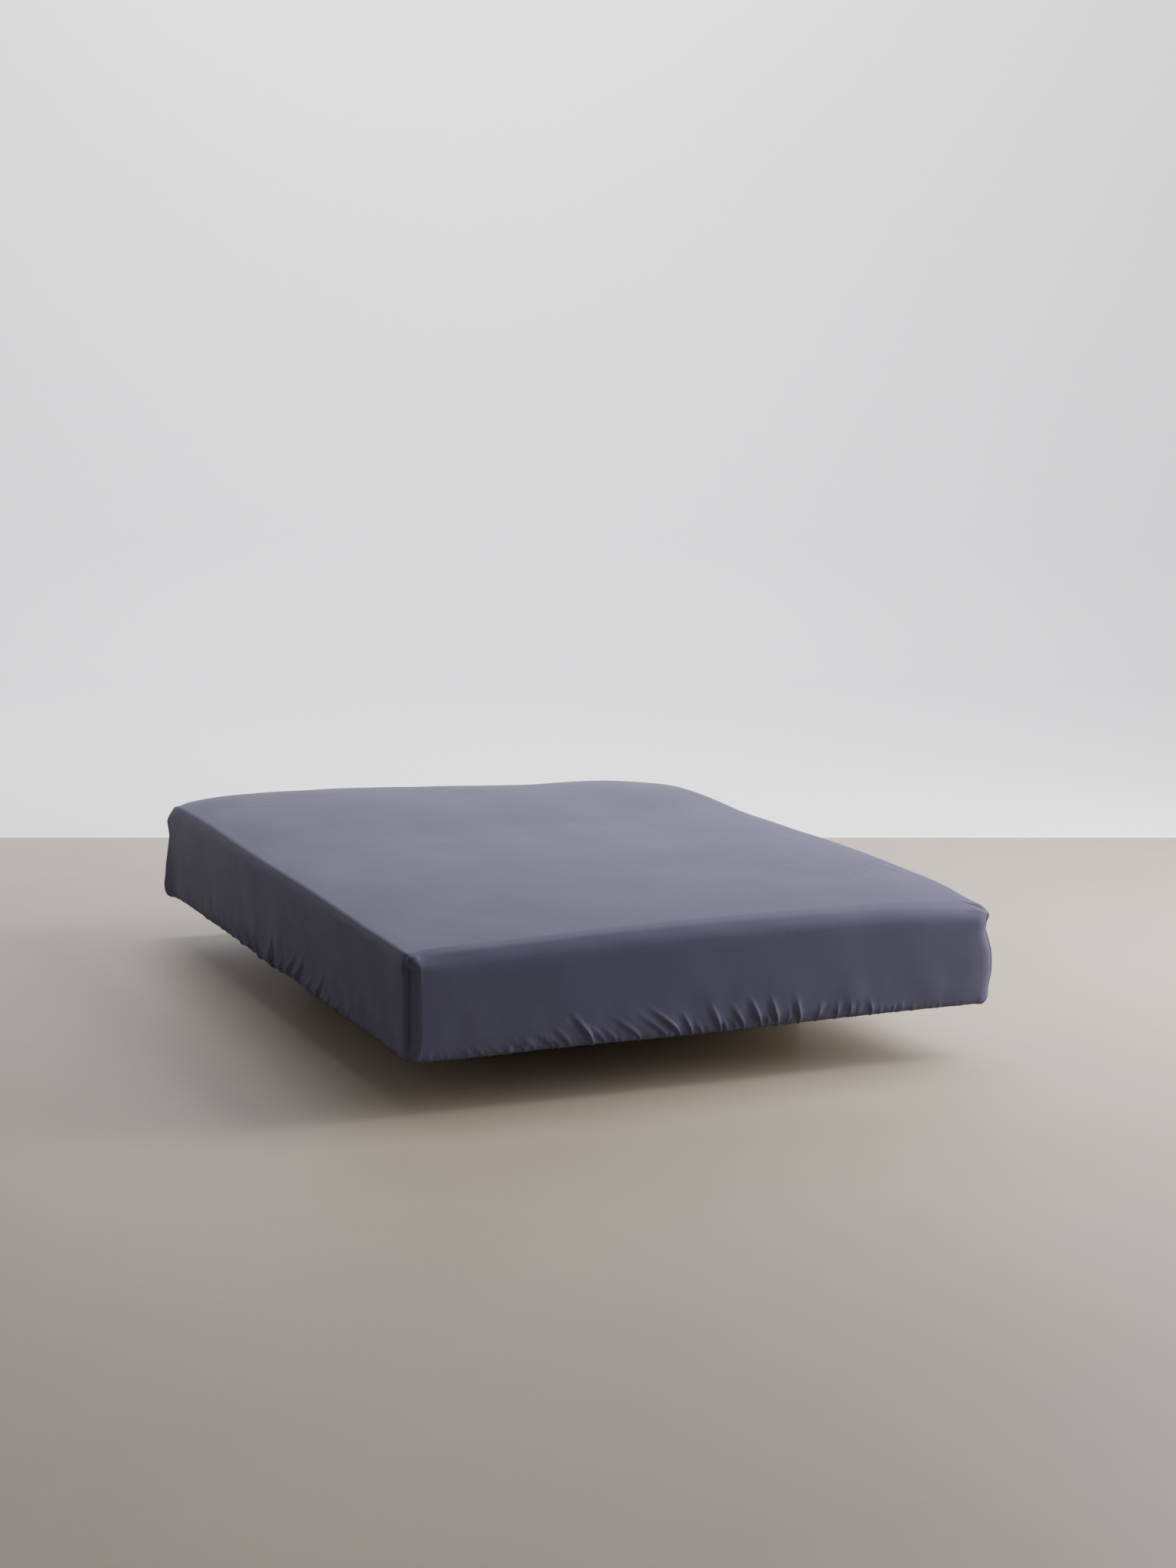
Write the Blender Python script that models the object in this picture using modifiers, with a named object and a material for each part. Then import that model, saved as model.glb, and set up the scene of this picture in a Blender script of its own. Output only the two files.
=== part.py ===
"""A fitted sheet stretched over a mattress that stands on a low plinth.

Metres, +Z up. The origin lies on the floor under the middle of the mattress.
+X runs along the short front end, +Y from the front end to the back end.
The sheet is one thin shell: a flat top panel, a skirt round the four sides and a
hem that elastic draws in under the mattress. It is open underneath.
"""

import math
from typing import NamedTuple

import bmesh
import bpy
from mathutils import Vector

# Driving dimensions of the bed
BED_WIDTH = 1.40
BED_LENGTH = 2.00
CORNER_RADIUS = 0.035
SHEET_THICKNESS = 0.0015
SEAT_GAP = 0.0003
EDGE_CLEARANCE = 0.002

PLINTH_WIDTH = 0.90
PLINTH_LENGTH = 1.10
PLINTH_HEIGHT = 0.12
PLINTH_BEVEL = 0.004

# The top panel stops this far in from the sides, and its grid is closer near its rim
PANEL_INSET = 0.040
PANEL_CELLS_ACROSS = 14
PANEL_CELLS_ALONG = 18
RIM_CROWDING = 0.6

# The middle of the top lies this far under the surface that its edges alone would give
MIDDLE_DROP = 0.012

# Each corner seam draws the cloth and the mattress in, down to this height
CORNER_TUCK = 0.008
TUCK_FOOT = 0.100

HALF_WIDTH = BED_WIDTH / 2
HALF_LENGTH = BED_LENGTH / 2

# A height about halfway up the skirt, which tells its upper rim from its lower one
MIDDLE_HEIGHT = 0.12
MERGE_DISTANCE = 1e-6


class Finish(NamedTuple):
    """How a part's surface looks: its material's name, colour and roughness."""

    name: str
    colour: tuple
    roughness: float


SHEET_FINISH = Finish("cotton_sateen", (0.175, 0.178, 0.235), 0.55)
MATTRESS_FINISH = Finish("woven_ticking", (0.68, 0.65, 0.58), 0.90)
PLINTH_FINISH = Finish("stained_wood", (0.045, 0.036, 0.030), 0.60)

# Height of the top edge above the mattress underside, by the distance along that edge
FRONT_EDGE = (
    # x, height
    (-0.70, 0.225),
    (-0.45, 0.231),
    (-0.12, 0.239),
    (0.32, 0.239),
    (0.56, 0.233),
    (0.70, 0.220),
)
BACK_EDGE = (
    # x, height
    (-0.70, 0.238),
    (-0.62, 0.251),
    (-0.42, 0.261),
    (-0.15, 0.258),
    (0.12, 0.247),
    (0.34, 0.237),
    (0.58, 0.234),
    (0.70, 0.222),
)
LEFT_EDGE = (
    # y, height
    (-1.00, 0.225),
    (-0.75, 0.229),
    (-0.30, 0.238),
    (0.20, 0.243),
    (0.75, 0.253),
    (0.90, 0.250),
    (1.00, 0.238),
)
RIGHT_EDGE = (
    # y, height
    (-1.00, 0.220),
    (-0.85, 0.240),
    (-0.65, 0.249),
    (0.00, 0.251),
    (0.26, 0.248),
    (0.52, 0.257),
    (0.76, 0.249),
    (1.00, 0.222),
)


class Fold(NamedTuple):
    """One gather that the hem elastic makes: where its foot lies, and its form."""

    place: float
    height: float
    lean: float
    depth: float


# Places run along X on the front and along Y on the left side. Lean is how far the
# fold's head lies from its foot, so the folds fan out from the middle of each side.
FRONT_FOLDS = (
    # place, height, lean, depth
    Fold(-0.620, 0.020, -0.030, 0.007),
    Fold(-0.550, 0.022, -0.030, 0.007),
    Fold(-0.490, 0.024, -0.026, 0.007),
    Fold(-0.430, 0.030, -0.038, 0.009),
    Fold(-0.362, 0.036, -0.040, 0.010),
    Fold(-0.325, 0.038, -0.036, 0.007),
    Fold(-0.275, 0.062, -0.048, 0.013),
    Fold(-0.225, 0.034, -0.040, 0.009),
    Fold(-0.163, 0.050, -0.062, 0.013),
    Fold(-0.102, 0.048, -0.064, 0.011),
    Fold(-0.066, 0.064, -0.072, 0.014),
    Fold(-0.020, 0.040, -0.022, 0.009),
    Fold(0.032, 0.058, -0.026, 0.011),
    Fold(0.088, 0.054, -0.030, 0.011),
    Fold(0.128, 0.062, -0.026, 0.011),
    Fold(0.170, 0.060, -0.014, 0.013),
    Fold(0.225, 0.056, -0.006, 0.010),
    Fold(0.268, 0.044, 0.010, 0.009),
    Fold(0.316, 0.042, 0.006, 0.009),
    Fold(0.360, 0.036, 0.004, 0.007),
    Fold(0.405, 0.034, 0.000, 0.007),
    Fold(0.450, 0.022, 0.006, 0.006),
    Fold(0.500, 0.020, 0.006, 0.006),
    Fold(0.560, 0.016, 0.006, 0.004),
)
LEFT_FOLDS = (
    # place, height, lean, depth
    Fold(-0.850, 0.018, -0.030, 0.006),
    Fold(-0.710, 0.022, -0.040, 0.009),
    Fold(-0.600, 0.026, -0.050, 0.010),
    Fold(-0.496, 0.040, -0.060, 0.013),
    Fold(-0.357, 0.058, -0.058, 0.014),
    Fold(-0.280, 0.040, -0.050, 0.009),
    Fold(-0.200, 0.070, -0.056, 0.013),
    Fold(-0.125, 0.066, -0.050, 0.011),
    Fold(-0.060, 0.040, -0.030, 0.009),
    Fold(0.010, 0.070, -0.004, 0.011),
    Fold(0.110, 0.064, 0.036, 0.011),
    Fold(0.183, 0.070, 0.060, 0.013),
    Fold(0.279, 0.056, 0.060, 0.011),
    Fold(0.360, 0.040, 0.036, 0.010),
    Fold(0.420, 0.038, 0.028, 0.009),
    Fold(0.471, 0.034, 0.028, 0.009),
    Fold(0.530, 0.026, 0.030, 0.007),
    Fold(0.628, 0.028, 0.046, 0.007),
    Fold(0.712, 0.020, 0.046, 0.006),
    Fold(0.790, 0.020, 0.036, 0.006),
    Fold(0.870, 0.016, 0.026, 0.004),
)


class Row(NamedTuple):
    """One level round the skirt: its inset from the sides, and its height, either
    above the mattress underside or, where from_top is set, from the top edge."""

    height: float
    inset: float
    from_top: bool


# The sheet's outer face, from the piping on the top edge down to the end of the hem
PIPING_INSET = 0.018
HEM_DEPTH = 0.060
HEM_CORNER_RADIUS = 0.012
# Each fold's foot hangs below the hem by this share of its depth
SCALLOP_SHARE = 0.4
HEM_HEIGHT = -(SHEET_THICKNESS + EDGE_CLEARANCE)
SHEET_ROWS = (
    # height, inset, from_top
    Row(0.0015, PIPING_INSET, True),
    Row(-0.007, 0.012, True),
    Row(-0.022, 0.005, True),
    Row(-0.050, 0.000, True),
    Row(0.110, 0.000, False),
    Row(0.062, 0.000, False),
    Row(0.032, 0.001, False),
    Row(0.010, 0.004, False),
    Row(HEM_HEIGHT, 0.016, False),
    Row(HEM_HEIGHT, HEM_DEPTH, False),
)

# The mattress, which keeps inside the sheet by its thickness and the clearance
SKIN = SHEET_THICKNESS + EDGE_CLEARANCE
MATTRESS_ROWS = (
    # height, inset, from_top
    Row(-SKIN, PIPING_INSET + SKIN, True),
    Row(-0.026, 0.009, True),
    Row(-0.050, SKIN, True),
    Row(0.110, SKIN, False),
    Row(0.062, SKIN, False),
    Row(0.012, 0.008, False),
    Row(0.000, 0.024, False),
)


class Column(NamedTuple):
    """One line down the skirt, from its head on the top edge to its foot at the hem."""

    foot: float
    head: float
    height: float
    depth: float
    tuck: float


QUARTER_TURN = CORNER_RADIUS * math.pi / 2


def clear_scene():
    for item in list(bpy.data.objects):
        bpy.data.objects.remove(item, do_unlink=True)


def make_material(finish):
    """A material for cloth or wood, none of which is metallic."""
    material = bpy.data.materials.new(finish.name)
    material.use_nodes = True
    shader = material.node_tree.nodes["Principled BSDF"]
    shader.inputs["Base Color"].default_value = (*finish.colour, 1.0)
    shader.inputs["Roughness"].default_value = finish.roughness
    shader.inputs["Metallic"].default_value = 0.0
    return material


def height_along(edge, place):
    """Height of a top edge at a place, on a smooth curve through its table."""
    places = [row[0] for row in edge]
    heights = [row[1] for row in edge]
    place = min(max(place, places[0]), places[-1])
    last = len(edge) - 1
    span = max(i for i in range(last) if places[i] <= place)

    def slope(i):
        before, after = max(i - 1, 0), min(i + 1, last)
        return (heights[after] - heights[before]) / (places[after] - places[before])

    width = places[span + 1] - places[span]
    t = (place - places[span]) / width
    return (
        heights[span] * (2 * t**3 - 3 * t**2 + 1)
        + heights[span + 1] * (3 * t**2 - 2 * t**3)
        + slope(span) * width * (t**3 - 2 * t**2 + t)
        + slope(span + 1) * width * (t**3 - t**2)
    )


def top_height(x, y):
    """Height of the sheet's top face: a surface stretched between its four edges."""
    across = (x + HALF_WIDTH) / BED_WIDTH
    along = (y + HALF_LENGTH) / BED_LENGTH
    between_ends = (1 - along) * height_along(FRONT_EDGE, x) + along * height_along(BACK_EDGE, x)
    between_sides = (1 - across) * height_along(LEFT_EDGE, y) + across * height_along(RIGHT_EDGE, y)
    front = (1 - across) * FRONT_EDGE[0][1] + across * FRONT_EDGE[-1][1]
    back = (1 - across) * BACK_EDGE[0][1] + across * BACK_EDGE[-1][1]
    between_corners = (1 - along) * front + along * back
    drop = MIDDLE_DROP * (1 - (2 * across - 1) ** 2) * (1 - (2 * along - 1) ** 2)
    return between_ends + between_sides - between_corners - drop


class Side(NamedTuple):
    """One side of the outline: the way it is walked, half its run, how far it lies
    from the middle of the bed, and its folds in the order in which they are met."""

    way: Vector
    half_run: float
    reach: float
    folds: tuple

    @property
    def straight(self):
        return 2 * (self.half_run - CORNER_RADIUS)


# The outline is walked anticlockwise, seen from above, from the left end of the front.
# The right side and the back are gathered as the sides that face them.
SIDES = (
    Side(Vector((1, 0)), HALF_WIDTH, HALF_LENGTH, FRONT_FOLDS),
    Side(Vector((0, 1)), HALF_LENGTH, HALF_WIDTH, LEFT_FOLDS),
    Side(Vector((-1, 0)), HALF_WIDTH, HALF_LENGTH, FRONT_FOLDS[::-1]),
    Side(Vector((0, -1)), HALF_LENGTH, HALF_WIDTH, LEFT_FOLDS[::-1]),
)
OUTLINE_LENGTH = sum(side.straight + QUARTER_TURN for side in SIDES)


def outline_point(station, inset):
    """Point at a distance along the outline, set in from it by the inset."""
    radius = max(CORNER_RADIUS - inset, HEM_CORNER_RADIUS)
    rest = station % OUTLINE_LENGTH
    for side in SIDES:
        outward = Vector((side.way.y, -side.way.x))
        half_straight = side.half_run - inset - radius
        if rest <= side.straight:
            along = (2 * rest / side.straight - 1) * half_straight
            return outward * (side.reach - inset) + side.way * along
        rest -= side.straight
        if rest <= QUARTER_TURN:
            centre = outward * (side.reach - inset - radius) + side.way * half_straight
            turn = rest / CORNER_RADIUS
            return centre + (outward * math.cos(turn) + side.way * math.sin(turn)) * radius
        rest -= QUARTER_TURN
    raise ValueError("station lies off the outline")


def side_columns(side, start_station):
    """Columns of one straight side: a crest at each fold and a trough between two."""
    sign = side.way.x + side.way.y
    length = side.straight
    crests = []
    for fold in side.folds:
        foot = start_station + length / 2 + fold.place * sign
        crests.append(Column(foot, foot + fold.lean * sign, fold.height, fold.depth, 0.0))
    ends = (
        Column(start_station, start_station, 0.0, 0.0, 0.0),
        Column(start_station + length, start_station + length, 0.0, 0.0, 0.0),
    )
    ordered = [ends[0], *crests, ends[1]]
    columns = []
    for before, after in zip(ordered, ordered[1:]):
        middle = Column(
            (before.foot + after.foot) / 2,
            (before.head + after.head) / 2,
            (before.height + after.height) / 2,
            0.0,
            0.0,
        )
        columns += [before, middle]
    return [*columns, ends[1]]


def skirt_columns():
    """All the columns round the skirt, with one in the middle of each corner."""
    columns = []
    station = 0.0
    for side in SIDES:
        columns += side_columns(side, station)
        station += side.straight
        corner = station + QUARTER_TURN / 2
        columns.append(Column(corner, corner, 0.0, 0.0, CORNER_TUCK))
        station += QUARTER_TURN
    return columns


def skirt_point(column, row):
    """Place of the skirt where a column crosses a row."""
    if row.from_top or row.height >= column.height or not column.height:
        share = 0.0
        station = column.head
    else:
        share = 1.0 - max(row.height, 0.0) / column.height
        station = column.foot + (column.head - column.foot) * (1.0 - share)
    height = row.height
    inset = row.inset - column.depth * share
    if row.from_top:
        height += top_height(*outline_point(station, PIPING_INSET))
    if height > TUCK_FOOT:
        inset += column.tuck
    if height < 0:
        height -= column.depth * share * SCALLOP_SHARE
    place = outline_point(station, inset)
    return Vector((place.x, place.y, height))


def crowded(share):
    """Moves an evenly spaced grid line, from -1 to 1, closer to the rim it is near."""
    return RIM_CROWDING * math.sin(share * math.pi / 2) + (1 - RIM_CROWDING) * share


def add_panel(mesh, drop):
    """Top panel: a grid that follows the top face, a drop below it."""
    grid = bmesh.ops.create_grid(
        mesh, x_segments=PANEL_CELLS_ACROSS, y_segments=PANEL_CELLS_ALONG, size=1.0
    )
    for vert in grid["verts"]:
        x = crowded(vert.co.x) * (HALF_WIDTH - PANEL_INSET)
        y = crowded(vert.co.y) * (HALF_LENGTH - PANEL_INSET)
        vert.co = (x, y, top_height(x, y) - drop)
    faces = {face for vert in grid["verts"] for face in vert.link_faces}
    bmesh.ops.triangulate(mesh, faces=list(faces), quad_method="FIXED")


def add_skirt(mesh, columns, rows):
    """Skirt: a grid rolled round the outline, with a column for each fold and trough."""
    last_row = len(rows) - 1
    grid = bmesh.ops.create_grid(
        mesh, x_segments=len(columns), y_segments=last_row, size=1.0
    )
    for vert in grid["verts"]:
        column = round((vert.co.x + 1) / 2 * len(columns)) % len(columns)
        row = round((vert.co.y + 1) / 2 * last_row)
        vert.co = skirt_point(columns[column], rows[row])
    bmesh.ops.remove_doubles(mesh, verts=grid["verts"], dist=MERGE_DISTANCE)


def open_edges(mesh, above):
    """Edges of the open rims in the upper half of the skirt, or in the lower half."""
    rims = [edge for edge in mesh.edges if edge.is_boundary]
    return [edge for edge in rims if (edge.verts[0].co.z > MIDDLE_HEIGHT) == above]


def new_part(name, mesh, finish, collection):
    data = bpy.data.meshes.new(name)
    mesh.to_mesh(data)
    mesh.free()
    data.materials.append(make_material(finish))
    data.shade_smooth()
    part = bpy.data.objects.new(name, data)
    collection.objects.link(part)
    return part


def cover_mesh(columns, rows, drop):
    """A top panel joined to a skirt, with the faces turned outwards."""
    mesh = bmesh.new()
    add_panel(mesh, drop)
    add_skirt(mesh, columns, rows)
    bmesh.ops.bridge_loops(mesh, edges=open_edges(mesh, above=True))
    bmesh.ops.recalc_face_normals(mesh, faces=mesh.faces)
    return mesh


def build_sheet(collection):
    """The fitted sheet: its outer face, given its thickness inwards."""
    mesh = cover_mesh(skirt_columns(), SHEET_ROWS, drop=0.0)
    sheet = new_part("fitted_sheet", mesh, SHEET_FINISH, collection)
    shell = sheet.modifiers.new("Thickness", "SOLIDIFY")
    shell.thickness = SHEET_THICKNESS
    shell.offset = -1.0
    shell.use_even_offset = True
    return sheet


def build_mattress(collection):
    """The mattress, which fills the sheet and rests on the plinth."""
    columns = [column for column in skirt_columns() if not column.depth]
    mesh = cover_mesh(columns, MATTRESS_ROWS, drop=SHEET_THICKNESS + SEAT_GAP)
    bmesh.ops.contextual_create(mesh, geom=open_edges(mesh, above=False))
    bmesh.ops.recalc_face_normals(mesh, faces=mesh.faces)
    return new_part("mattress", mesh, MATTRESS_FINISH, collection)


def build_plinth(collection):
    """A plain low box, set back under the mattress."""
    mesh = bmesh.new()
    bmesh.ops.create_cube(mesh, size=1.0)
    bmesh.ops.scale(mesh, vec=(PLINTH_WIDTH, PLINTH_LENGTH, PLINTH_HEIGHT), verts=mesh.verts)
    plinth = new_part("plinth", mesh, PLINTH_FINISH, collection)
    plinth.data.shade_flat()
    rounding = plinth.modifiers.new("Edges", "BEVEL")
    rounding.width = PLINTH_BEVEL
    rounding.segments = 2
    plinth.location.z = PLINTH_HEIGHT / 2
    return plinth


def main():
    clear_scene()
    collection = bpy.data.collections.new("fitted_sheet_on_mattress")
    bpy.context.scene.collection.children.link(collection)

    bed = bpy.data.objects.new("bed_level", None)
    bed.location.z = PLINTH_HEIGHT + SEAT_GAP
    collection.objects.link(bed)

    build_plinth(collection)
    for part in (build_mattress(collection), build_sheet(collection)):
        part.parent = bed


main()
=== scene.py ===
"""The looks of a fitted sheet stretched over a mattress on a low plinth.

Laid out as an add-on and run as a script. Everything is in metres, in the frame of
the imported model: +Z up, +X along the short front end, +Y from the front to the back.
The sheet is one surface, worked out row by row: a top panel, an edge roll over the
mattress's piping, a skirt, and a hem that elastic draws in under the mattress.
"""

import math
from typing import NamedTuple

import bpy
import numpy as np
from mathutils import Matrix, Vector


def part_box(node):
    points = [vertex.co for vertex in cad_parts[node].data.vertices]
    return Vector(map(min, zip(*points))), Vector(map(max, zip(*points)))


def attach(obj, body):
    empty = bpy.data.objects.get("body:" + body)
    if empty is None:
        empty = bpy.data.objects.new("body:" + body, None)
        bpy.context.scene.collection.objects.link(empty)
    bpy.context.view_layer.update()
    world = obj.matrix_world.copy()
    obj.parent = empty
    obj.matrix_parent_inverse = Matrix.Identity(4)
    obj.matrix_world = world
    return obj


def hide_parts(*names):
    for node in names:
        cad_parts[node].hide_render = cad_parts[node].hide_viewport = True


bl_info = {
    "name": "Fitted Sheet on a Mattress",
    "version": (1, 0, 0),
    "blender": (4, 5, 0),
    "location": "3D Viewport > Sidebar > Fitted Sheet",
    "description": "Builds a sateen fitted sheet with elastic gathers over a mattress and plinth",
    "category": "Object",
}

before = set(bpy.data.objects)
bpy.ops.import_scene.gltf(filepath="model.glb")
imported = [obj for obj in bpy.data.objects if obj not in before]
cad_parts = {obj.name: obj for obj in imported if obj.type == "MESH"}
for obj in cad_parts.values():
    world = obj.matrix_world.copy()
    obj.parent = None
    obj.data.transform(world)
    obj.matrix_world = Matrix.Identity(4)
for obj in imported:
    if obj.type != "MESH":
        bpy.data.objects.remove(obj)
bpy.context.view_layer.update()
BODY = "root"

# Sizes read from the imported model: the mattress keeps inside the sheet by the skin
SKIN = 0.0035
MATTRESS_LOW, MATTRESS_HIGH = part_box("mattress")
UNDERSIDE = MATTRESS_LOW.z
HALF_WIDTH = (MATTRESS_HIGH.x - MATTRESS_LOW.x) / 2 + SKIN
HALF_LENGTH = (MATTRESS_HIGH.y - MATTRESS_LOW.y) / 2 + SKIN

# Plan of the bed. The hem's corners are a little squarer than the solids'
CORNER_RADIUS = 0.035
HEM_CORNER_RADIUS = 0.008
QUARTER_TURN = CORNER_RADIUS * math.pi / 2
PANEL_INSET = 0.052
RIDGE_INSET = 0.0260
MIDDLE_DROP = 0.012

# Height of the top edge above the mattress underside, by the distance along that edge
FRONT_EDGE = (
    # x, height
    (-0.70, 0.225),
    (-0.45, 0.231),
    (-0.12, 0.239),
    (0.32, 0.239),
    (0.56, 0.233),
    (0.70, 0.220),
)
BACK_EDGE = (
    # x, height
    (-0.70, 0.238),
    (-0.62, 0.251),
    (-0.42, 0.261),
    (-0.15, 0.258),
    (0.12, 0.247),
    (0.34, 0.237),
    (0.58, 0.234),
    (0.70, 0.222),
)
LEFT_EDGE = (
    # y, height
    (-1.00, 0.225),
    (-0.75, 0.229),
    (-0.30, 0.238),
    (0.20, 0.243),
    (0.75, 0.253),
    (0.90, 0.250),
    (1.00, 0.238),
)
RIGHT_EDGE = (
    # y, height
    (-1.00, 0.220),
    (-0.85, 0.240),
    (-0.65, 0.249),
    (0.00, 0.251),
    (0.26, 0.248),
    (0.52, 0.257),
    (0.76, 0.249),
    (1.00, 0.222),
)


class Crease(NamedTuple):
    """One gather of the elastic hem: where its foot lies, how high it reaches, and how
    far its head lies from its foot along the side."""

    place: float
    height: float
    lean: float


# Places run along X on the front, and along Y on the left side
FRONT_CREASES = (
    # place, height, lean
    Crease(-0.635, 0.012, -0.051),
    Crease(-0.554, 0.018, -0.029),
    Crease(-0.528, 0.022, -0.035),
    Crease(-0.491, 0.016, -0.023),
    Crease(-0.432, 0.027, -0.039),
    Crease(-0.410, 0.029, -0.039),
    Crease(-0.368, 0.032, -0.039),
    Crease(-0.352, 0.033, -0.044),
    Crease(-0.328, 0.039, -0.037),
    Crease(-0.275, 0.066, -0.048),
    Crease(-0.245, 0.036, -0.043),
    Crease(-0.221, 0.031, -0.034),
    Crease(-0.163, 0.049, -0.067),
    Crease(-0.101, 0.049, -0.064),
    Crease(-0.068, 0.064, -0.075),
    Crease(-0.040, 0.045, -0.022),
    Crease(-0.016, 0.026, -0.017),
    Crease(0.002, 0.016, -0.004),
    Crease(0.030, 0.059, -0.026),
    Crease(0.046, 0.029, -0.019),
    Crease(0.069, 0.029, -0.015),
    Crease(0.088, 0.053, -0.032),
    Crease(0.128, 0.065, -0.027),
    Crease(0.146, 0.035, -0.002),
    Crease(0.169, 0.062, -0.016),
    Crease(0.194, 0.034, 0.010),
    Crease(0.224, 0.057, -0.008),
    Crease(0.268, 0.041, 0.013),
    Crease(0.316, 0.040, 0.005),
    Crease(0.350, 0.035, 0.001),
    Crease(0.370, 0.015, 0.006),
    Crease(0.405, 0.034, -0.006),
    Crease(0.442, 0.013, 0.010),
    Crease(0.460, 0.014, 0.002),
    Crease(0.482, 0.018, 0.000),
    Crease(0.509, 0.012, 0.006),
    Crease(0.544, 0.009, 0.004),
)
LEFT_CREASES = (
    # place, height, lean
    Crease(0.863, 0.015, 0.031),
    Crease(0.783, 0.019, 0.030),
    Crease(0.712, 0.017, 0.053),
    Crease(0.628, 0.027, 0.051),
    Crease(0.530, 0.021, 0.028),
    Crease(0.471, 0.033, 0.027),
    Crease(0.420, 0.037, 0.026),
    Crease(0.369, 0.035, 0.033),
    Crease(0.279, 0.053, 0.074),
    Crease(0.183, 0.070, 0.078),
    Crease(0.115, 0.064, 0.036),
    Crease(0.010, 0.073, -0.004),
    Crease(-0.060, 0.040, -0.030),
    Crease(-0.125, 0.066, -0.066),
    Crease(-0.200, 0.075, -0.059),
    Crease(-0.280, 0.040, -0.050),
    Crease(-0.357, 0.057, -0.056),
    Crease(-0.430, 0.030, -0.040),
    Crease(-0.496, 0.035, -0.080),
    Crease(-0.580, 0.024, -0.030),
    Crease(-0.641, 0.020, -0.033),
    Crease(-0.711, 0.016, -0.055),
    Crease(-0.800, 0.012, -0.030),
)


class Side(NamedTuple):
    """One side of the outline: the way it is walked, half its run, how far it lies from
    the middle, its creases, the widest column of its gathers, how far down its edge roll
    reaches, how much closer to the outline it comes, and how much it is flattened."""

    way: tuple
    half_run: float
    reach: float
    creases: tuple
    gather_pitch: float
    roll: float
    pull: float
    flattened: float

    @property
    def straight(self):
        return 2 * (self.half_run - CORNER_RADIUS)

    @property
    def outward(self):
        return (self.way[1], -self.way[0])

    @property
    def sign(self):
        return self.way[0] + self.way[1]


# Walked anticlockwise, seen from above, from the left end of the front. The right side
# and the back are gathered as the sides that face them.
SIDES = (
    Side((1, 0), HALF_WIDTH, HALF_LENGTH, FRONT_CREASES, 0.0023, 1.00, 0.10, 0.42),
    Side((0, 1), HALF_LENGTH, HALF_WIDTH, LEFT_CREASES, 0.0061, 0.70, 0.50, 0.0),
    Side((-1, 0), HALF_WIDTH, HALF_LENGTH, FRONT_CREASES, 0.0062, 0.80, 0.40, 0.0),
    Side((0, -1), HALF_LENGTH, HALF_WIDTH, LEFT_CREASES, 0.0058, 0.50, 0.70, 0.0),
)
OUTLINE_LENGTH = sum(side.straight + QUARTER_TURN for side in SIDES)
SIDE_STARTS = tuple(
    sum(side.straight + QUARTER_TURN for side in SIDES[:i]) for i in range(len(SIDES))
)
CORNER_NAMES = ("front_right", "back_right", "back_left", "front_left")
CORNER_STATIONS = dict(
    zip(
        CORNER_NAMES,
        [start + side.straight + QUARTER_TURN / 2 for start, side in zip(SIDE_STARTS, SIDES)],
    )
)

# Cells of the sheet's top: short ones by the rim, and even ones between
RIM_CELLS = (0.0022, 0.0024, 0.0028, 0.0036, 0.005, 0.007, 0.010)
PANEL_CELL = 0.0180
CORNER_CELLS = 36


class Roll(NamedTuple):
    """One row of the edge roll: its inset, its drop below the top edge, how much of that
    drop follows the side, and its drop where the roll is flattened."""

    inset: float
    drop: float
    follows: float
    flattened: float


# From the top panel's rim, over the ridge that the mattress's piping raises, down the side
EDGE_ROLL = (
    # inset, drop, follows, flattened
    Roll(0.0455, 0.0001, 0.0, 0.0012),
    Roll(0.0390, 0.0005, 0.0, 0.0032),
    Roll(0.0325, 0.0008, 0.0, 0.0056),
    Roll(RIDGE_INSET, 0.0009, 0.0, 0.0084),
    Roll(0.0226, 0.0024, 0.1, 0.0101),
    Roll(0.0194, 0.0054, 0.5, 0.0118),
    Roll(0.0163, 0.0092, 0.8, 0.0138),
    Roll(0.0125, 0.0142, 1.0, 0.0163),
    Roll(0.0085, 0.0202, 1.0, 0.0194),
    Roll(0.0048, 0.0272, 1.0, 0.0234),
    Roll(0.0019, 0.0355, 1.0, 0.0285),
    Roll(0.0003, 0.0445, 1.0, 0.0360),
    Roll(0.0000, 0.0580, 1.0, 0.0580),
)
# Shares of the way from the roll's last row down to the gathers' first
SKIRT_SHARES = (0.30, 0.62, 0.86)
GATHER_TOP = 0.092


class Turn(NamedTuple):
    """One row of the gathers: its height and inset, the way that a crease moves it
    there, outwards and down, and how much of the crease is left."""

    height: float
    inset: float
    out: float
    down: float
    left: float


GATHER_ROWS = (
    # height, inset, out, down, left
    Turn(GATHER_TOP, 0.0000, 1.0, 0.0, 1.0),
    Turn(0.0810, 0.0000, 1.0, 0.0, 1.0),
    Turn(0.0710, 0.0000, 1.0, 0.0, 1.0),
    Turn(0.0610, 0.0000, 1.0, 0.0, 1.0),
    Turn(0.0515, 0.0000, 1.0, 0.0, 1.0),
    Turn(0.0425, 0.0001, 1.0, 0.0, 1.0),
    Turn(0.0340, 0.0003, 1.0, 0.0, 1.0),
    Turn(0.0260, 0.0006, 1.0, 0.0, 1.0),
    Turn(0.0185, 0.0010, 1.0, 0.03, 1.0),
    Turn(0.0115, 0.0017, 1.0, 0.08, 1.0),
    Turn(0.0052, 0.0030, 0.97, 0.18, 1.0),
    Turn(-0.0003, 0.0052, 0.88, 0.28, 1.0),
    Turn(-0.0043, 0.0086, 0.70, 0.34, 0.95),
    Turn(-0.0064, 0.0136, 0.50, 0.38, 0.85),
    Turn(-0.0066, 0.0215, 0.25, 0.42, 0.72),
    Turn(-0.0056, 0.0330, 0.10, 0.50, 0.60),
    Turn(-0.0038, 0.0600, 0.00, 0.66, 0.45),
)

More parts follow.
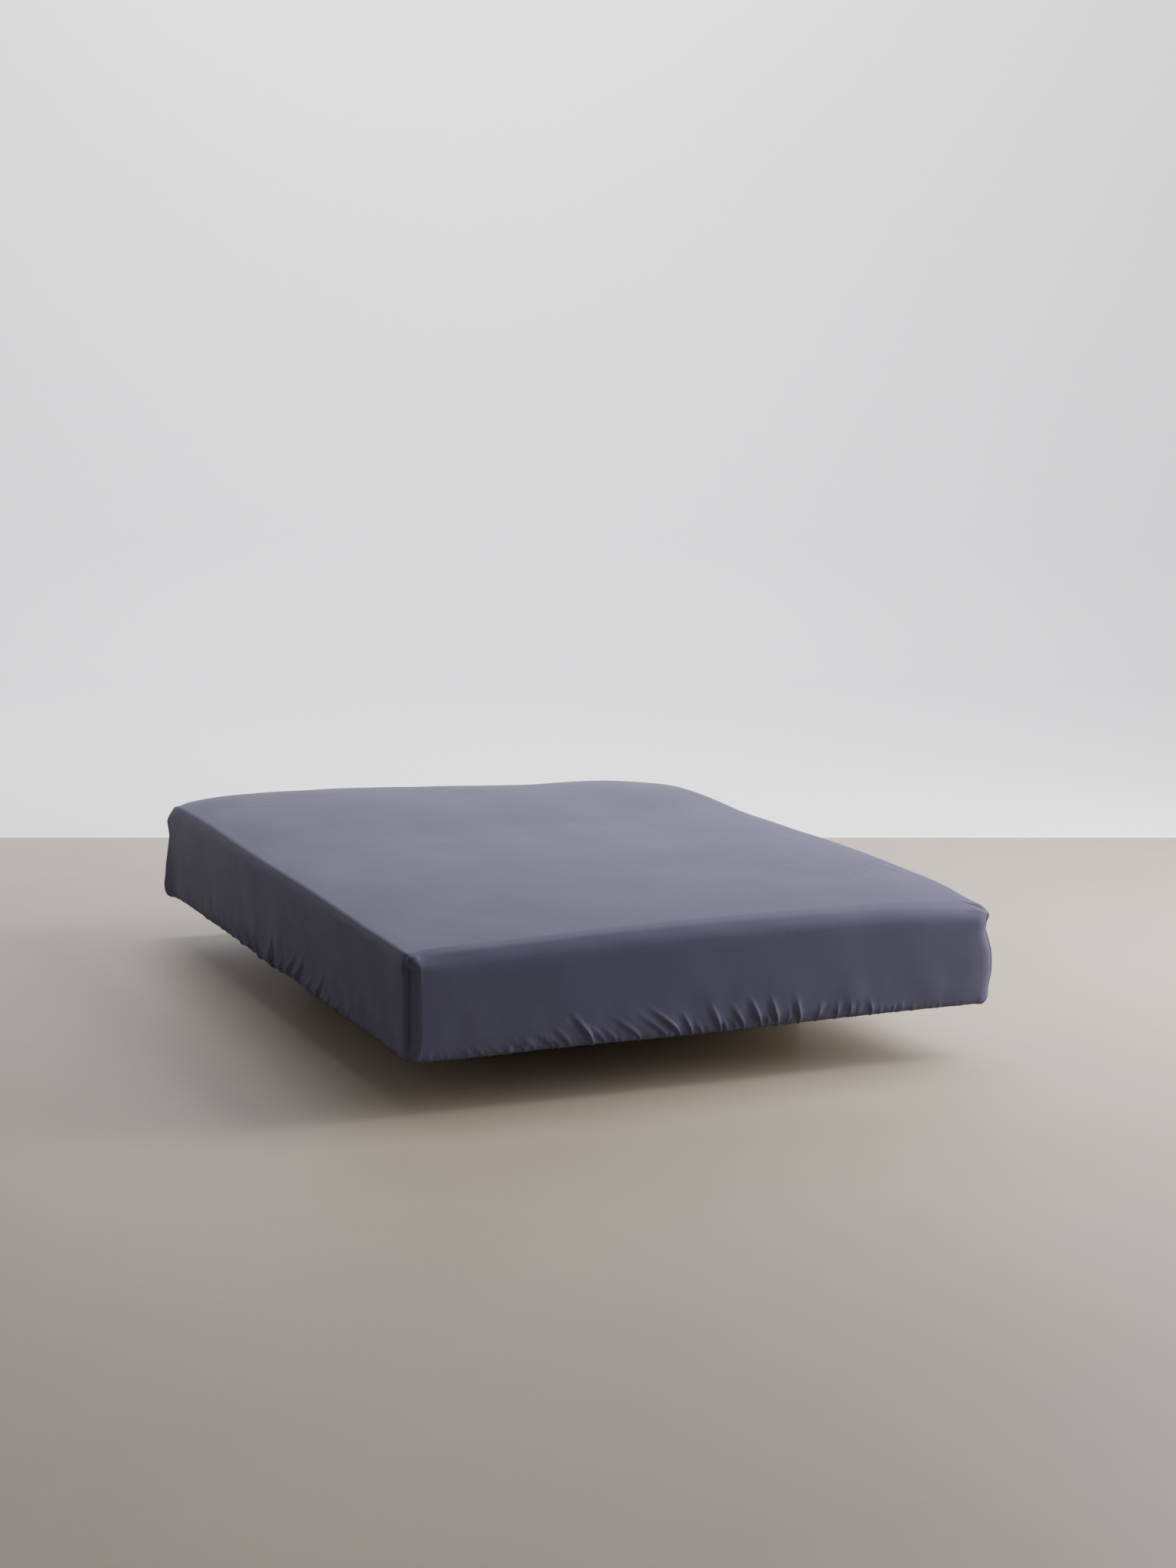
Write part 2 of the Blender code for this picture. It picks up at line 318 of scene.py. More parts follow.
# How far the hem hangs off its mean line, which the elastic pulls unevenly
FRONT_HEM = (
    # x, height
    (-0.70, 0.0000),
    (-0.60, -0.0040),
    (-0.43, -0.0010),
    (-0.07, -0.0015),
    (0.12, 0.0000),
    (0.31, 0.0030),
    (0.50, 0.0040),
    (0.70, 0.0035),
)
LEFT_HEM = (
    # y, height
    (-1.00, -0.0030),
    (-0.89, -0.0010),
    (-0.68, 0.0010),
    (-0.46, -0.0010),
    (-0.22, 0.0045),
    (0.035, 0.0000),
    (0.30, 0.0040),
    (0.60, 0.0040),
    (0.91, 0.0020),
    (1.00, -0.0020),
)


class Streak(NamedTuple):
    """A group of faint parallel ridges on the top: its middle, the turn of its ridges
    from +X in degrees, their length, the step between them, their count and height."""

    x: float
    y: float
    turn: float
    length: float
    step: float
    count: int
    height: float


TOP_STREAKS = (
    # x, y, turn, length, step, count, height
    Streak(0.110, 0.757, -20, 0.120, 0.046, 3, 0.0015),
    Streak(-0.513, 0.728, -22, 0.090, 0.050, 2, 0.0011),
    Streak(0.057, 0.159, -26, 0.080, 0.044, 3, 0.0009),
    Streak(0.572, -0.646, -78, 0.120, 0.040, 4, 0.0013),
    Streak(0.343, -0.593, -70, 0.100, 0.042, 4, 0.0010),
    Streak(0.024, -0.603, -64, 0.080, 0.045, 2, 0.0009),
)


class SheetSizes(bpy.types.PropertyGroup):
    """What a user would change in the sheet's cut and its gathers."""

    thickness: bpy.props.FloatProperty(
        name="Cloth Thickness", description="Thickness of the cloth",
        default=0.0009, min=0.0003, max=0.003, precision=4, unit="LENGTH",
    )
    crease_depth: bpy.props.FloatProperty(
        name="Crease Depth", description="How far a crease stands out, for its height",
        default=0.165, min=0.0, max=0.3, subtype="FACTOR",
    )
    pucker_count: bpy.props.IntProperty(
        name="Small Puckers", description="Small puckers between the creases, all round",
        default=330, min=0, max=1000,
    )
    unevenness: bpy.props.FloatProperty(
        name="Unevenness", description="Height of the top's broad soft waves",
        default=0.0009, min=0.0, max=0.003, precision=4, unit="LENGTH",
    )
    slate: bpy.props.StringProperty(
        name="Slate Colour", description="Colour of the yarn, as an sRGB hex value",
        default="#535263",
    )


class StitchSizes(bpy.types.PropertyGroup):
    """What a user would change in the hem's row of stitches."""

    pitch: bpy.props.FloatProperty(
        name="Stitch Pitch", description="Distance from one stitch to the next",
        default=0.0045, min=0.002, max=0.01, precision=4, unit="LENGTH",
    )
    length: bpy.props.FloatProperty(
        name="Stitch Length", description="Length of a stitch that shows",
        default=0.0032, min=0.001, max=0.008, precision=4, unit="LENGTH",
    )
    width: bpy.props.FloatProperty(
        name="Thread Width", description="Width of the thread",
        default=0.0008, min=0.0003, max=0.002, precision=4, unit="LENGTH",
    )
    thread: bpy.props.StringProperty(
        name="Thread Colour", description="Colour of the thread, as an sRGB hex value",
        default="#5E5E72",
    )


class BaseFinishes(bpy.types.PropertyGroup):
    """Colours of what carries the sheet."""

    ticking: bpy.props.StringProperty(
        name="Ticking Colour", description="Colour of the mattress cover, as an sRGB hex value",
        default="#D8D3C6",
    )
    wood: bpy.props.StringProperty(
        name="Plinth Colour", description="Colour of the stained wood, as an sRGB hex value",
        default="#3A322B",
    )


class StageSettings(bpy.types.PropertyGroup):
    """The studio round the bed."""

    floor: bpy.props.StringProperty(
        name="Floor Colour", description="Colour of the floor, as an sRGB hex value",
        default="#A09484",
    )
    wall: bpy.props.StringProperty(
        name="Wall Colour", description="Colour of the backdrop, as an sRGB hex value",
        default="#F2F2F4",
    )
    key_power: bpy.props.FloatProperty(
        name="Key Light", description="Power of the large soft light above the right side",
        default=212.0, min=0.0, unit="POWER",
    )
    side_power: bpy.props.FloatProperty(
        name="Side Light", description="Power of the low soft light at the right",
        default=150.0, min=0.0, unit="POWER",
    )
    fill_power: bpy.props.FloatProperty(
        name="Fill Light", description="Power of the soft light at the front right",
        default=50.0, min=0.0, unit="POWER",
    )
    wash_power: bpy.props.FloatProperty(
        name="Wall Light", description="Power of the light that washes the backdrop",
        default=740.0, min=0.0, unit="POWER",
    )
    ambient: bpy.props.FloatProperty(
        name="Ambient", description="Strength of the even light from all round",
        default=0.17, min=0.0, max=2.0,
    )


def linear(hex_colour):
    """Linear colour, with full alpha, of an sRGB hex value."""
    digits = hex_colour.lstrip("#")
    parts = [int(digits[i:i + 2], 16) / 255 for i in (0, 2, 4)]
    return (*[p / 12.92 if p <= 0.04045 else ((p + 0.055) / 1.055) ** 2.4 for p in parts], 1.0)


# Form of the bed

def height_along(table, place):
    """Heights at many places, on a smooth curve through a table of places and heights."""
    places, heights = np.array(table).T
    place = np.clip(place, places[0], places[-1])
    slopes = np.gradient(heights, places)
    span = np.clip(np.searchsorted(places, place, side="right") - 1, 0, len(places) - 2)
    width = places[span + 1] - places[span]
    t = (place - places[span]) / width
    return (
        heights[span] * (2 * t**3 - 3 * t**2 + 1)
        + heights[span + 1] * (3 * t**2 - 2 * t**3)
        + slopes[span] * width * (t**3 - 2 * t**2 + t)
        + slopes[span + 1] * width * (t**3 - t**2)
    )


def top_height(x, y):
    """Height of the plain top face: a surface stretched between its four edges."""
    across = (x + HALF_WIDTH) / (2 * HALF_WIDTH)
    along = (y + HALF_LENGTH) / (2 * HALF_LENGTH)
    between_ends = (1 - along) * height_along(FRONT_EDGE, x) + along * height_along(BACK_EDGE, x)
    between_sides = (1 - across) * height_along(LEFT_EDGE, y) + across * height_along(RIGHT_EDGE, y)
    front = (1 - across) * FRONT_EDGE[0][1] + across * FRONT_EDGE[-1][1]
    back = (1 - across) * BACK_EDGE[0][1] + across * BACK_EDGE[-1][1]
    between_corners = (1 - along) * front + along * back
    drop = MIDDLE_DROP * (1 - (2 * across - 1) ** 2) * (1 - (2 * along - 1) ** 2)
    return between_ends + between_sides - between_corners - drop


def soft_waves(x, y, seed, longest, shortest, count=7):
    """Broad soft waves between -1 and 1, from a few seeded sines of different lengths."""
    random = np.random.RandomState(seed)
    total = np.zeros(np.broadcast(x, y).shape)
    for wave in range(count):
        length = longest * (shortest / longest) ** (wave / (count - 1))
        turn = random.uniform(0, math.pi)
        phase = random.uniform(0, 2 * math.pi)
        total += np.sin((x * math.cos(turn) + y * math.sin(turn)) * 2 * math.pi / length + phase)
    return total / count ** 0.5 / 1.4


def streak_height(x, y, streak):
    """Faint parallel ridges, highest in the middle of their group."""
    turn = math.radians(streak.turn)
    along = (x - streak.x) * math.cos(turn) + (y - streak.y) * math.sin(turn)
    across = (y - streak.y) * math.cos(turn) - (x - streak.x) * math.sin(turn)
    half_width = streak.count * streak.step / 2
    fade = np.exp(-((along / streak.length * 1.6) ** 2) - (across / half_width) ** 4)
    return streak.height * fade * np.cos(2 * math.pi * across / streak.step)


def sheet_top(x, y, unevenness):
    """Height of the sheet's top face with its unevenness and its faint streaks."""
    height = top_height(x, y) + unevenness * soft_waves(x, y, 11, 0.75, 0.16)
    for streak in TOP_STREAKS:
        height = height + streak_height(x, y, streak)
    return height


def outline(station, inset):
    """Points at distances along the outline, each set in from it by its inset."""
    station, inset = np.broadcast_arrays(np.mod(station, OUTLINE_LENGTH), inset)
    radius = np.maximum(CORNER_RADIUS - inset, HEM_CORNER_RADIUS)
    x, y = np.zeros(station.shape), np.zeros(station.shape)
    for side, start in zip(SIDES, SIDE_STARTS):
        rest = station - start
        half_straight = side.half_run - inset - radius
        along = (2 * rest / side.straight - 1) * half_straight
        out = side.reach - inset
        turn = np.clip((rest - side.straight) / CORNER_RADIUS, 0, math.pi / 2)
        on_arc = rest > side.straight
        along = np.where(on_arc, half_straight + radius * np.sin(turn), along)
        out = np.where(on_arc, out - radius + radius * np.cos(turn), out)
        here = (rest >= 0) & (rest < side.straight + QUARTER_TURN)
        x = np.where(here, side.outward[0] * out + side.way[0] * along, x)
        y = np.where(here, side.outward[1] * out + side.way[1] * along, y)
    return x, y


def apart(station, other):
    """Distance along the outline from one station to another, the short way round."""
    return np.mod(station - other + OUTLINE_LENGTH / 2, OUTLINE_LENGTH) - OUTLINE_LENGTH / 2


def bump(value, width):
    """A smooth bump, 1 at zero and nearly 0 at twice its width."""
    return np.exp(-((value / width) ** 2))


def ramp(value, low, high):
    """Rises smoothly from 0 at the low value to 1 at the high one."""
    t = np.clip((value - low) / (high - low), 0, 1)
    return t * t * (3 - 2 * t)


def along_sides(station, values):
    """A value for each side, carried along the outline and blended at its corners."""
    blend = 0.05
    total, weight = np.zeros(station.shape), np.zeros(station.shape)
    for side, start, value in zip(SIDES, SIDE_STARTS, values):
        away = np.abs(apart(station, start + side.straight / 2))
        inside = ramp((side.straight + QUARTER_TURN) / 2 + blend - away, 0, 2 * blend)
        total += inside * value
        weight += inside
    return total / weight


def roll_factor(station):
    """How far down the edge roll reaches, by side, with a wavy lower border."""
    factor = along_sides(station, [side.roll for side in SIDES])
    return factor * (1 + 0.20 * soft_waves(station, 0 * station, 5, 0.70, 0.12))


# Creases, puckers and the corners' seams

CREASE_SHAPE = 1.08
CREASE_FADE = 0.90
CREASE_BEND = 1.35
FOOT_WIDTH = 0.0019
LEAF_WIDTH = 0.0068
HEAD_WIDTH = 0.0066
TROUGH_SHARE = 0.38
STEEP_SIDE, GENTLE_SIDE = 0.85, 0.74
# Depth of a crease beside what its height gives, and how much of its depth its foot has
LEAST_DEPTH = 0.0016
FOOT_SHARE = 0.55
# Widest column that draws a crease at its own width, and the least that creases sink
FINE_PITCH = 0.0045
DEEPEST = -0.0026


def crease_stations(side, start):
    """The side's creases as stations of their feet, with their leans signed alike."""
    middle = start + side.straight / 2
    return [
        (middle + crease.place * side.sign, crease.height, crease.lean * side.sign)
        for crease in side.creases
    ]


def crease_shape(across, width, lean):
    """A fold's section: steep on the side it leans over, and a trough beyond that side."""
    toward = across * (1.0 if lean <= 0 else -1.0)
    scaled = np.where(toward > 0, toward / GENTLE_SIDE, -toward / STEEP_SIDE) / width
    crest = np.exp(-(scaled ** CREASE_SHAPE))
    trough = bump(toward / width + 2.3, 1.1)
    return crest - TROUGH_SHARE * trough


def gathers(station, height, sizes):
    """How far the gathers stand out from the skirt at many stations and heights."""
    rise = np.maximum(height, 0.0)
    total = np.zeros(np.broadcast(station, height).shape)
    for side, start in zip(SIDES, SIDE_STARTS):
        for foot, reach, lean in crease_stations(side, start):
            t = np.clip(rise / reach, 0, 1)
            depth = (LEAST_DEPTH + sizes.crease_depth * reach) * (1 - t) ** CREASE_FADE
            depth = depth * (FOOT_SHARE + (1 - FOOT_SHARE) * ramp(t, 0.0, 0.3))
            across = apart(station, foot + lean * t ** CREASE_BEND)
            leaf = LEAF_WIDTH + (HEAD_WIDTH - LEAF_WIDTH) * t
            width = FOOT_WIDTH + (leaf - FOOT_WIDTH) * ramp(t, 0.0, 0.45)
            width = width * max(1.0, side.gather_pitch / FINE_PITCH)
            width = width * (0.7 + 0.3 * min(reach / 0.05, 1.3))
            shape = depth * crease_shape(across, width, lean)
            total = np.sign(total + shape) * np.cbrt(np.abs(total) ** 3 + np.abs(shape) ** 3)
    return total


def puckers(station, height, sizes):
    """Small seeded puckers among the creases, spread evenly all round the outline."""
    random = np.random.RandomState(23)
    rise = np.maximum(height, 0.0)
    total = np.zeros(np.broadcast(station, height).shape)
    for _ in range(sizes.pucker_count):
        foot = random.uniform(0, OUTLINE_LENGTH)
        reach = random.uniform(0.008, 0.026)
        depth = random.uniform(0.0007, 0.0022)
        width = random.uniform(0.0032, 0.0060)
        lean = random.uniform(-0.008, 0.008)
        t = np.clip(rise / reach, 0, 1)
        across = apart(station, foot + lean * t)
        total += depth * (1 - t) ** 1.3 * bump(across, width * (1 + t))
    return total


def side_swells(station, height):
    """Broad soft swells of the skirt, and the drag lines of the cloth above the gathers."""
    broad = 0.0011 * soft_waves(station, height * 2.2, 31, 0.55, 0.14)
    drag = 0.0009 * soft_waves(station, height * 0.35, 37, 0.16, 0.045)
    return broad + drag * bump(height - 0.055, 0.045)


class Seam(NamedTuple):
    """A corner's seam: its place across the corner, its ridge, the depth and length of
    the slope that leads to it, where the slope begins below the edge, the width of its
    lip, how far the top drops there, its pinched fold and the places of the fold and of
    the slit below it, how much closer the edge roll comes to the outline there, how much
    of the roll is flattened and how far along, the way that the corner is pushed out,
    and a table of how far it is pushed at each height."""

    corner: str
    offset: float
    ridge: float
    slope: float
    slope_length: float
    slope_top: float
    lip: float
    fall: float
    pinch: float
    fold_at: float
    slit_at: float
    pull: float
    flattened: float
    flattened_length: float
    way: tuple
    pushes: tuple


SEAMS = (
    Seam(
        "front_left", -0.012, ridge=0.0012, slope=0.0135, slope_length=0.040,
        slope_top=0.022, lip=0.0012, fall=0.0, pinch=0.0060, fold_at=-0.0035,
        slit_at=-0.0080, pull=0.50,
        flattened=1.0, flattened_length=0.050, way=(-1.0, 0.0),
        pushes=((0.0, 0.0028), (0.100, 0.0012), (0.180, -0.0006), (0.225, -0.0012)),
    ),
    Seam(
        "front_right", 0.006, ridge=0.0003, slope=0.0075, slope_length=0.055,
        slope_top=0.040, lip=0.0055, fall=0.010, pinch=0.0048, fold_at=0.0010,
        slit_at=0.0045, pull=0.75,
        flattened=0.60, flattened_length=0.090, way=(1.0, 0.0),
        pushes=(
            (0.0, 0.0205), (0.015, 0.0225), (0.040, 0.0250), (0.060, 0.0300),
            (0.095, 0.0328), (0.115, 0.0308), (0.140, 0.0236), (0.165, 0.0130),
            (0.180, 0.0112), (0.195, 0.0150), (0.210, 0.0198), (0.222, 0.0180),
        ),
    ),
    Seam(
        "back_right", 0.006, ridge=0.0008, slope=0.0060, slope_length=0.050,
        slope_top=0.030, lip=0.0040, fall=0.012, pinch=0.0030, fold_at=-0.0030,
        slit_at=-0.0075, pull=0.70,
        flattened=0.0, flattened_length=0.050, way=(0.7, 0.7),
        pushes=((0.0, 0.0100), (0.080, 0.0110), (0.150, 0.0020), (0.210, 0.0050)),
    ),
    Seam(
        "back_left", -0.006, ridge=0.0012, slope=0.0040, slope_length=0.040,
        slope_top=0.030, lip=0.0030, fall=0.020, pinch=0.0030, fold_at=-0.0030,
        slit_at=-0.0075, pull=0.75,
        flattened=0.0, flattened_length=0.050, way=(-1.0, 0.0),
        pushes=(
            (0.0, 0.0178), (0.033, 0.0206), (0.054, 0.0168), (0.086, 0.0138),
            (0.118, 0.0090), (0.150, 0.0030), (0.171, 0.0018), (0.188, 0.0056),
            (0.205, 0.0056), (0.225, -0.0020), (0.240, -0.0090),
        ),
    ),
)

# How much closer to the outline the hem comes at a corner, and how much higher
HEM_PULL = 0.8
HEM_LIFT = 0.004
# Widths, along the outline, of what the corners do, and of a seam, its fold and its slit
CORNER_WIDTH = 0.022
PUSH_WIDTH = 0.045
FALL_WIDTH = 0.021
SEAM_WIDTH = 0.0022
FOLD_WIDTH = 0.0030
# How far below the edge the fold and the slit lie, and half their heights
FOLD_DROP, FOLD_REACH = 0.014, 0.010
SLIT_DROP, SLIT_REACH = 0.030, 0.012
SLIT_SHARE = 1.4
SLOPE_SHAPE = 1.5


def near_corner(station):
    """Rises to 1 at each corner."""
    return sum(bump(apart(station, place), CORNER_WIDTH) for place in CORNER_STATIONS.values())


def across_corners(station):
    """Each corner's seam, with the distances from that corner along the outline."""
    return [(seam, apart(station, CORNER_STATIONS[seam.corner])) for seam in SEAMS]


def pulled_in_roll(station, inset):
    """Inset of a row of the edge roll, which comes closer to the outline on some sides
    and at the corners."""
    share = 1 - along_sides(station, [side.pull for side in SIDES])
    for seam, across in across_corners(station):
        share = share + (1 - seam.pull - share) * bump(across, CORNER_WIDTH)
    if inset <= RIDGE_INSET:
        return inset * share
    rest = (inset - RIDGE_INSET) / (PANEL_INSET - RIDGE_INSET)
    return RIDGE_INSET * share * (1 - rest) + PANEL_INSET * rest


def corner_forms(station, height, edge_height):
    """How far the corners' seams and puckers stand out, by station and height."""
    total = np.zeros(np.broadcast(station, height).shape)
    height = height + 0 * station
    below = edge_height - height
    for seam, across in across_corners(station):
        side = 1.0 if seam.offset <= 0 else -1.0
        past = (across - seam.offset) * side
        ridge = seam.ridge * np.exp(-np.abs(past) / SEAM_WIDTH) * ramp(below, 0.010, 0.030)
        way_off = np.clip(past / seam.slope_length, 0, 1)
        toward_seam = np.where(past < 0, bump(past, seam.lip), (1 - way_off) ** SLOPE_SHAPE)
        slope = seam.slope * toward_seam * ramp(below, seam.slope_top, 1.5 * seam.slope_top)
        slope = slope * (0.6 + 0.4 * ramp(height, 0.0, 0.08))
        fold = bump(past - seam.fold_at, FOLD_WIDTH) * bump(below - FOLD_DROP, FOLD_REACH)
        slit = bump(past - seam.slit_at, FOLD_WIDTH) * bump(below - SLIT_DROP, SLIT_REACH)
        total += ridge - slope + seam.pinch * (fold - SLIT_SHARE * slit)
    return total


def corner_pushes(station, height):
    """How far the corners are pushed along X and Y, by station and height."""
    height = height + 0 * station
    x, y = np.zeros(height.shape), np.zeros(height.shape)
    for seam, across in across_corners(station):
        push = height_along(seam.pushes, height) * bump(across, PUSH_WIDTH)
        x += push * seam.way[0]
        y += push * seam.way[1]
    return x, y


def corner_fall(station):
    """How far the ridge drops at each corner."""
    return sum(seam.fall * bump(across, FALL_WIDTH) for seam, across in across_corners(station))


def flattened_roll(station):
    """Where the edge roll is flattened: along the front, and most beside its corners."""
    total = along_sides(station, [side.flattened for side in SIDES])
    for seam, across in across_corners(station):
        if not seam.flattened:
            continue
        beside = -math.copysign(1, seam.offset) * across
        start = abs(seam.offset)
        length = seam.flattened_length
        near = bump(beside - 0.6 * length, length) * ramp(beside, -2.5 * start, -0.5 * start)
        total = total + (seam.flattened - total) * near
    return total


def lean_at(station):
    """How far the skirt's columns lean, from the lean of the creases near them."""
    weights = np.full(station.shape, 1e-3)
    total = np.zeros(station.shape)
    for side, start in zip(SIDES, SIDE_STARTS):
        for foot, reach, lean in crease_stations(side, start):
            near = bump(apart(station, foot + lean), 0.065) * reach
            total += near * lean * min(1.0, reach / 0.055)
            weights += near
    keep = np.ones(station.shape)
    for corner in CORNER_STATIONS.values():
        keep = keep * ramp(np.abs(apart(station, corner)), 0.05, 0.16)
    return total / weights * keep


# Mesh of the sheet and the mattress

class Columns(NamedTuple):
    """Stations of the skirt's columns: coarse ones above, fine ones in the gathers, and
    the number of the fine column that continues each coarse one."""

    coarse: np.ndarray
    fine: np.ndarray
    joins: list
    across: np.ndarray
    along: np.ndarray


def straight_cells(length, rim_cells, cell):
    """Places of the cell borders along a straight side."""
    rim = np.concatenate([[0.0], np.cumsum(rim_cells)])
    middle = length - 2 * rim[-1]
    inner = rim[-1] + np.linspace(0, middle, round(middle / cell) + 1)
    return np.concatenate([rim[:-1], inner, length - rim[:-1][::-1]])


def skirt_columns(rim_cells, cell, corner_cells, refine):
    """Columns round the skirt. The straight sides' borders are the top panel's too."""
    across = straight_cells(SIDES[0].straight, rim_cells, cell)
    along = straight_cells(SIDES[1].straight, rim_cells, cell)
    coarse, fine, joins = [], [], []
    for number, (side, start) in enumerate(zip(SIDES, SIDE_STARTS)):
        run = across if number % 2 == 0 else along
        arc = side.straight + np.linspace(0, QUARTER_TURN, corner_cells + 1)
        borders = start + np.concatenate([run, arc[1:]])
        for low, high in zip(borders, borders[1:]):
            on_run = low < start + side.straight - 1e-9
            parts = max(1, math.ceil((high - low) / side.gather_pitch)) if on_run and refine else 1
            coarse.append(low)
            joins.append(len(fine))
            fine += list(low + (high - low) * np.arange(parts) / parts)
    return Columns(np.array(coarse), np.array(fine), joins, across, along)


def hem_hang(station):
    """How far the hem hangs off its mean line at many stations."""
    total = np.zeros(station.shape)
    for side, start, table in zip(SIDES, SIDE_STARTS, (FRONT_HEM, LEFT_HEM, FRONT_HEM, LEFT_HEM)):
        middle = start + side.straight / 2
        place = apart(station, middle)
        inside = np.abs(place) <= (side.straight + QUARTER_TURN) / 2
        total = np.where(inside, height_along(table, place * side.sign), total)
    return total


def roll_rows(columns, sizes):
    """Rows of the edge roll and the skirt above the gathers, down to their first row."""
    station = columns.coarse
    factor = roll_factor(station)
    fall = corner_fall(station)
    flattened = flattened_roll(station)
    edge = edge_heights(station, sizes)
    rows = []
    for roll in EDGE_ROLL:
        inset = pulled_in_roll(station, roll.inset)
        base = edge
        if roll.inset > RIDGE_INSET:
            x, y = outline(station, inset)
            share = ramp(PANEL_INSET - roll.inset, 0.0, PANEL_INSET - RIDGE_INSET)
            base = sheet_top(x, y, sizes.unevenness) - fall * share
        drop = roll.drop * (1 - roll.follows + roll.follows * factor)
        drop = drop + (roll.flattened - drop) * flattened
        rows.append((inset, base - drop))
    last = rows[-1][1]
    rows += [(0.0, last + (GATHER_TOP - last) * share) for share in SKIRT_SHARES]
    made = []
    for inset, height in rows:
        stand = side_swells(station, height) * ramp(edge - height, 0.010, 0.040)
        forms = corner_forms(station, height, edge)
        near_edge = ramp(PANEL_INSET - inset, 0.0, 0.030)
        x, y = outline(station, inset - stand - forms * near_edge)
        push_x, push_y = corner_pushes(station, height)
        made.append(np.stack([x + push_x * near_edge, y + push_y * near_edge, height], axis=1))
    return made


def edge_heights(station, sizes):
    """Height of the ridge at many stations."""
    x, y = outline(station, pulled_in_roll(station, RIDGE_INSET))
    return sheet_top(x, y, sizes.unevenness) - corner_fall(station)


def gather_rows(columns, sizes):
    """Rows of the gathers, from their head down round the hem to its end underneath."""
    head = columns.fine
    lean = lean_at(head)
    edge = edge_heights(head, sizes)
    near = near_corner(head)
    hang = hem_hang(head)
    hem_end = GATHER_ROWS[-1].inset
    made = []
    for row in GATHER_ROWS:
        rise = max(row.height, 0.0) / GATHER_TOP
        station = head - lean * (1 - rise ** CREASE_BEND)
        stand = gathers(station, row.height, sizes) + puckers(station, row.height, sizes)
        stand = np.maximum(stand, DEEPEST) * row.left
        form = side_swells(station, row.height) + corner_forms(station, row.height, edge)
        out = (stand + form) * row.out
        inset = row.inset * (1 - HEM_PULL * near * (1 - row.inset / hem_end))
        x, y = outline(station, inset - out)
        low = ramp(0.05 - row.height, 0.0, 0.05) * (1 - row.inset / hem_end)
        height = row.height - stand * row.down + (hang + HEM_LIFT * near) * low
        push_x, push_y = corner_pushes(station, row.height)
        made.append(np.stack([x + push_x * row.out, y + push_y * row.out, height], axis=1))
    return made


class Surface:
    """Points and faces of a surface that is being put together."""

    def __init__(self):
        self.points = []
        self.faces = []
        self.weave = []

    def add(self, points):
        """Adds points and gives the number of the first."""
        first = sum(len(block) for block in self.points)
        self.points.append(np.asarray(points))
        return first

    def face(self, corners, weave):
        """Adds a face with the place of each of its corners on the cloth."""
        self.faces.append(corners)
        self.weave.append(weave)

    def mesh(self, name):
        """A mesh with a UV map named weave, measured in metres on the cloth."""
        data = bpy.data.meshes.new(name)
        places = np.concatenate(self.points) + np.array([0.0, 0.0, UNDERSIDE])
        data.from_pydata(places.tolist(), [], self.faces)
        layer = data.uv_layers.new(name="weave")
        flat = np.array([uv for face in self.weave for uv in face], dtype=np.float32)
        layer.data.foreach_set("uv", flat.ravel())
        data.validate()
        data.shade_smooth()
        return data


def add_panel(surface, columns, height_at, turned=False):
    """A panel whose border has one point for each column of the straight sides. Gives
    the number of the border point behind every column."""
    half_across = HALF_WIDTH - PANEL_INSET
    half_along = HALF_LENGTH - PANEL_INSET
    xs = (2 * columns.across / columns.across[-1] - 1) * half_across
    ys = (2 * columns.along / columns.along[-1] - 1) * half_along
    grid_x, grid_y = np.meshgrid(xs, ys)
    heights = height_at(grid_x, grid_y)
    first = surface.add(np.stack([grid_x, grid_y, heights], axis=2).reshape(-1, 3))
    wide, long = len(xs), len(ys)

    def number(i, j):
        return first + j * wide + i

    for j in range(long - 1):
        for i in range(wide - 1):
            cells = [(i, j), (i + 1, j), (i + 1, j + 1), (i, j + 1)]
            if turned:
                cells.reverse()
            surface.face([number(*c) for c in cells], [(xs[c[0]], ys[c[1]]) for c in cells])
    corners = ((wide - 1, 0), (wide - 1, long - 1), (0, long - 1), (0, 0))
    runs = (
        [(i, 0) for i in range(wide)],
        [(wide - 1, j) for j in range(long)],
        [(wide - 1 - i, long - 1) for i in range(wide)],
        [(0, long - 1 - j) for j in range(long)],
    )
    arc_columns = len(columns.coarse) - 2 * (wide - 1) - 2 * (long - 1)
    rim = []
    for run, corner in zip(runs, corners):
        rim += run[:-1]
        rim += [corner] * (arc_columns // 4)
    return [number(*cell) for cell in rim], [(xs[i], ys[j]) for i, j in rim]


def add_rim(surface, rim, rim_places, row_first, row_points, turned=False):
    """Joins a panel's border to the skirt's nearest row, with a fan at each corner."""
    count = len(rim)
    for c in range(count):
        n = (c + 1) % count
        corners = [rim[c], row_first + c, row_first + n]
        weave = [rim_places[c], tuple(row_points[c][:2]), tuple(row_points[n][:2])]
        if rim[n] != rim[c]:
            corners.append(rim[n])
            weave.append(rim_places[n])
        if turned:
            corners.reverse()
            weave.reverse()
        surface.face(corners, weave)


def add_rows(surface, stations, rows, depth):
    """A band of rows. Gives the number of the first point of its first and last row."""
    count = len(stations)
    firsts = [surface.add(row) for row in rows]
    ends = np.append(stations[1:], OUTLINE_LENGTH)
    for upper in range(len(rows) - 1):
        high, low = depth[upper], depth[upper + 1]
        a, b = firsts[upper], firsts[upper + 1]
        for c in range(count):
            n = (c + 1) % count
            surface.face(
                [a + c, b + c, b + n, a + n],
                [(stations[c], high), (stations[c], low), (ends[c], low), (ends[c], high)],
            )
    return firsts[0], firsts[-1]


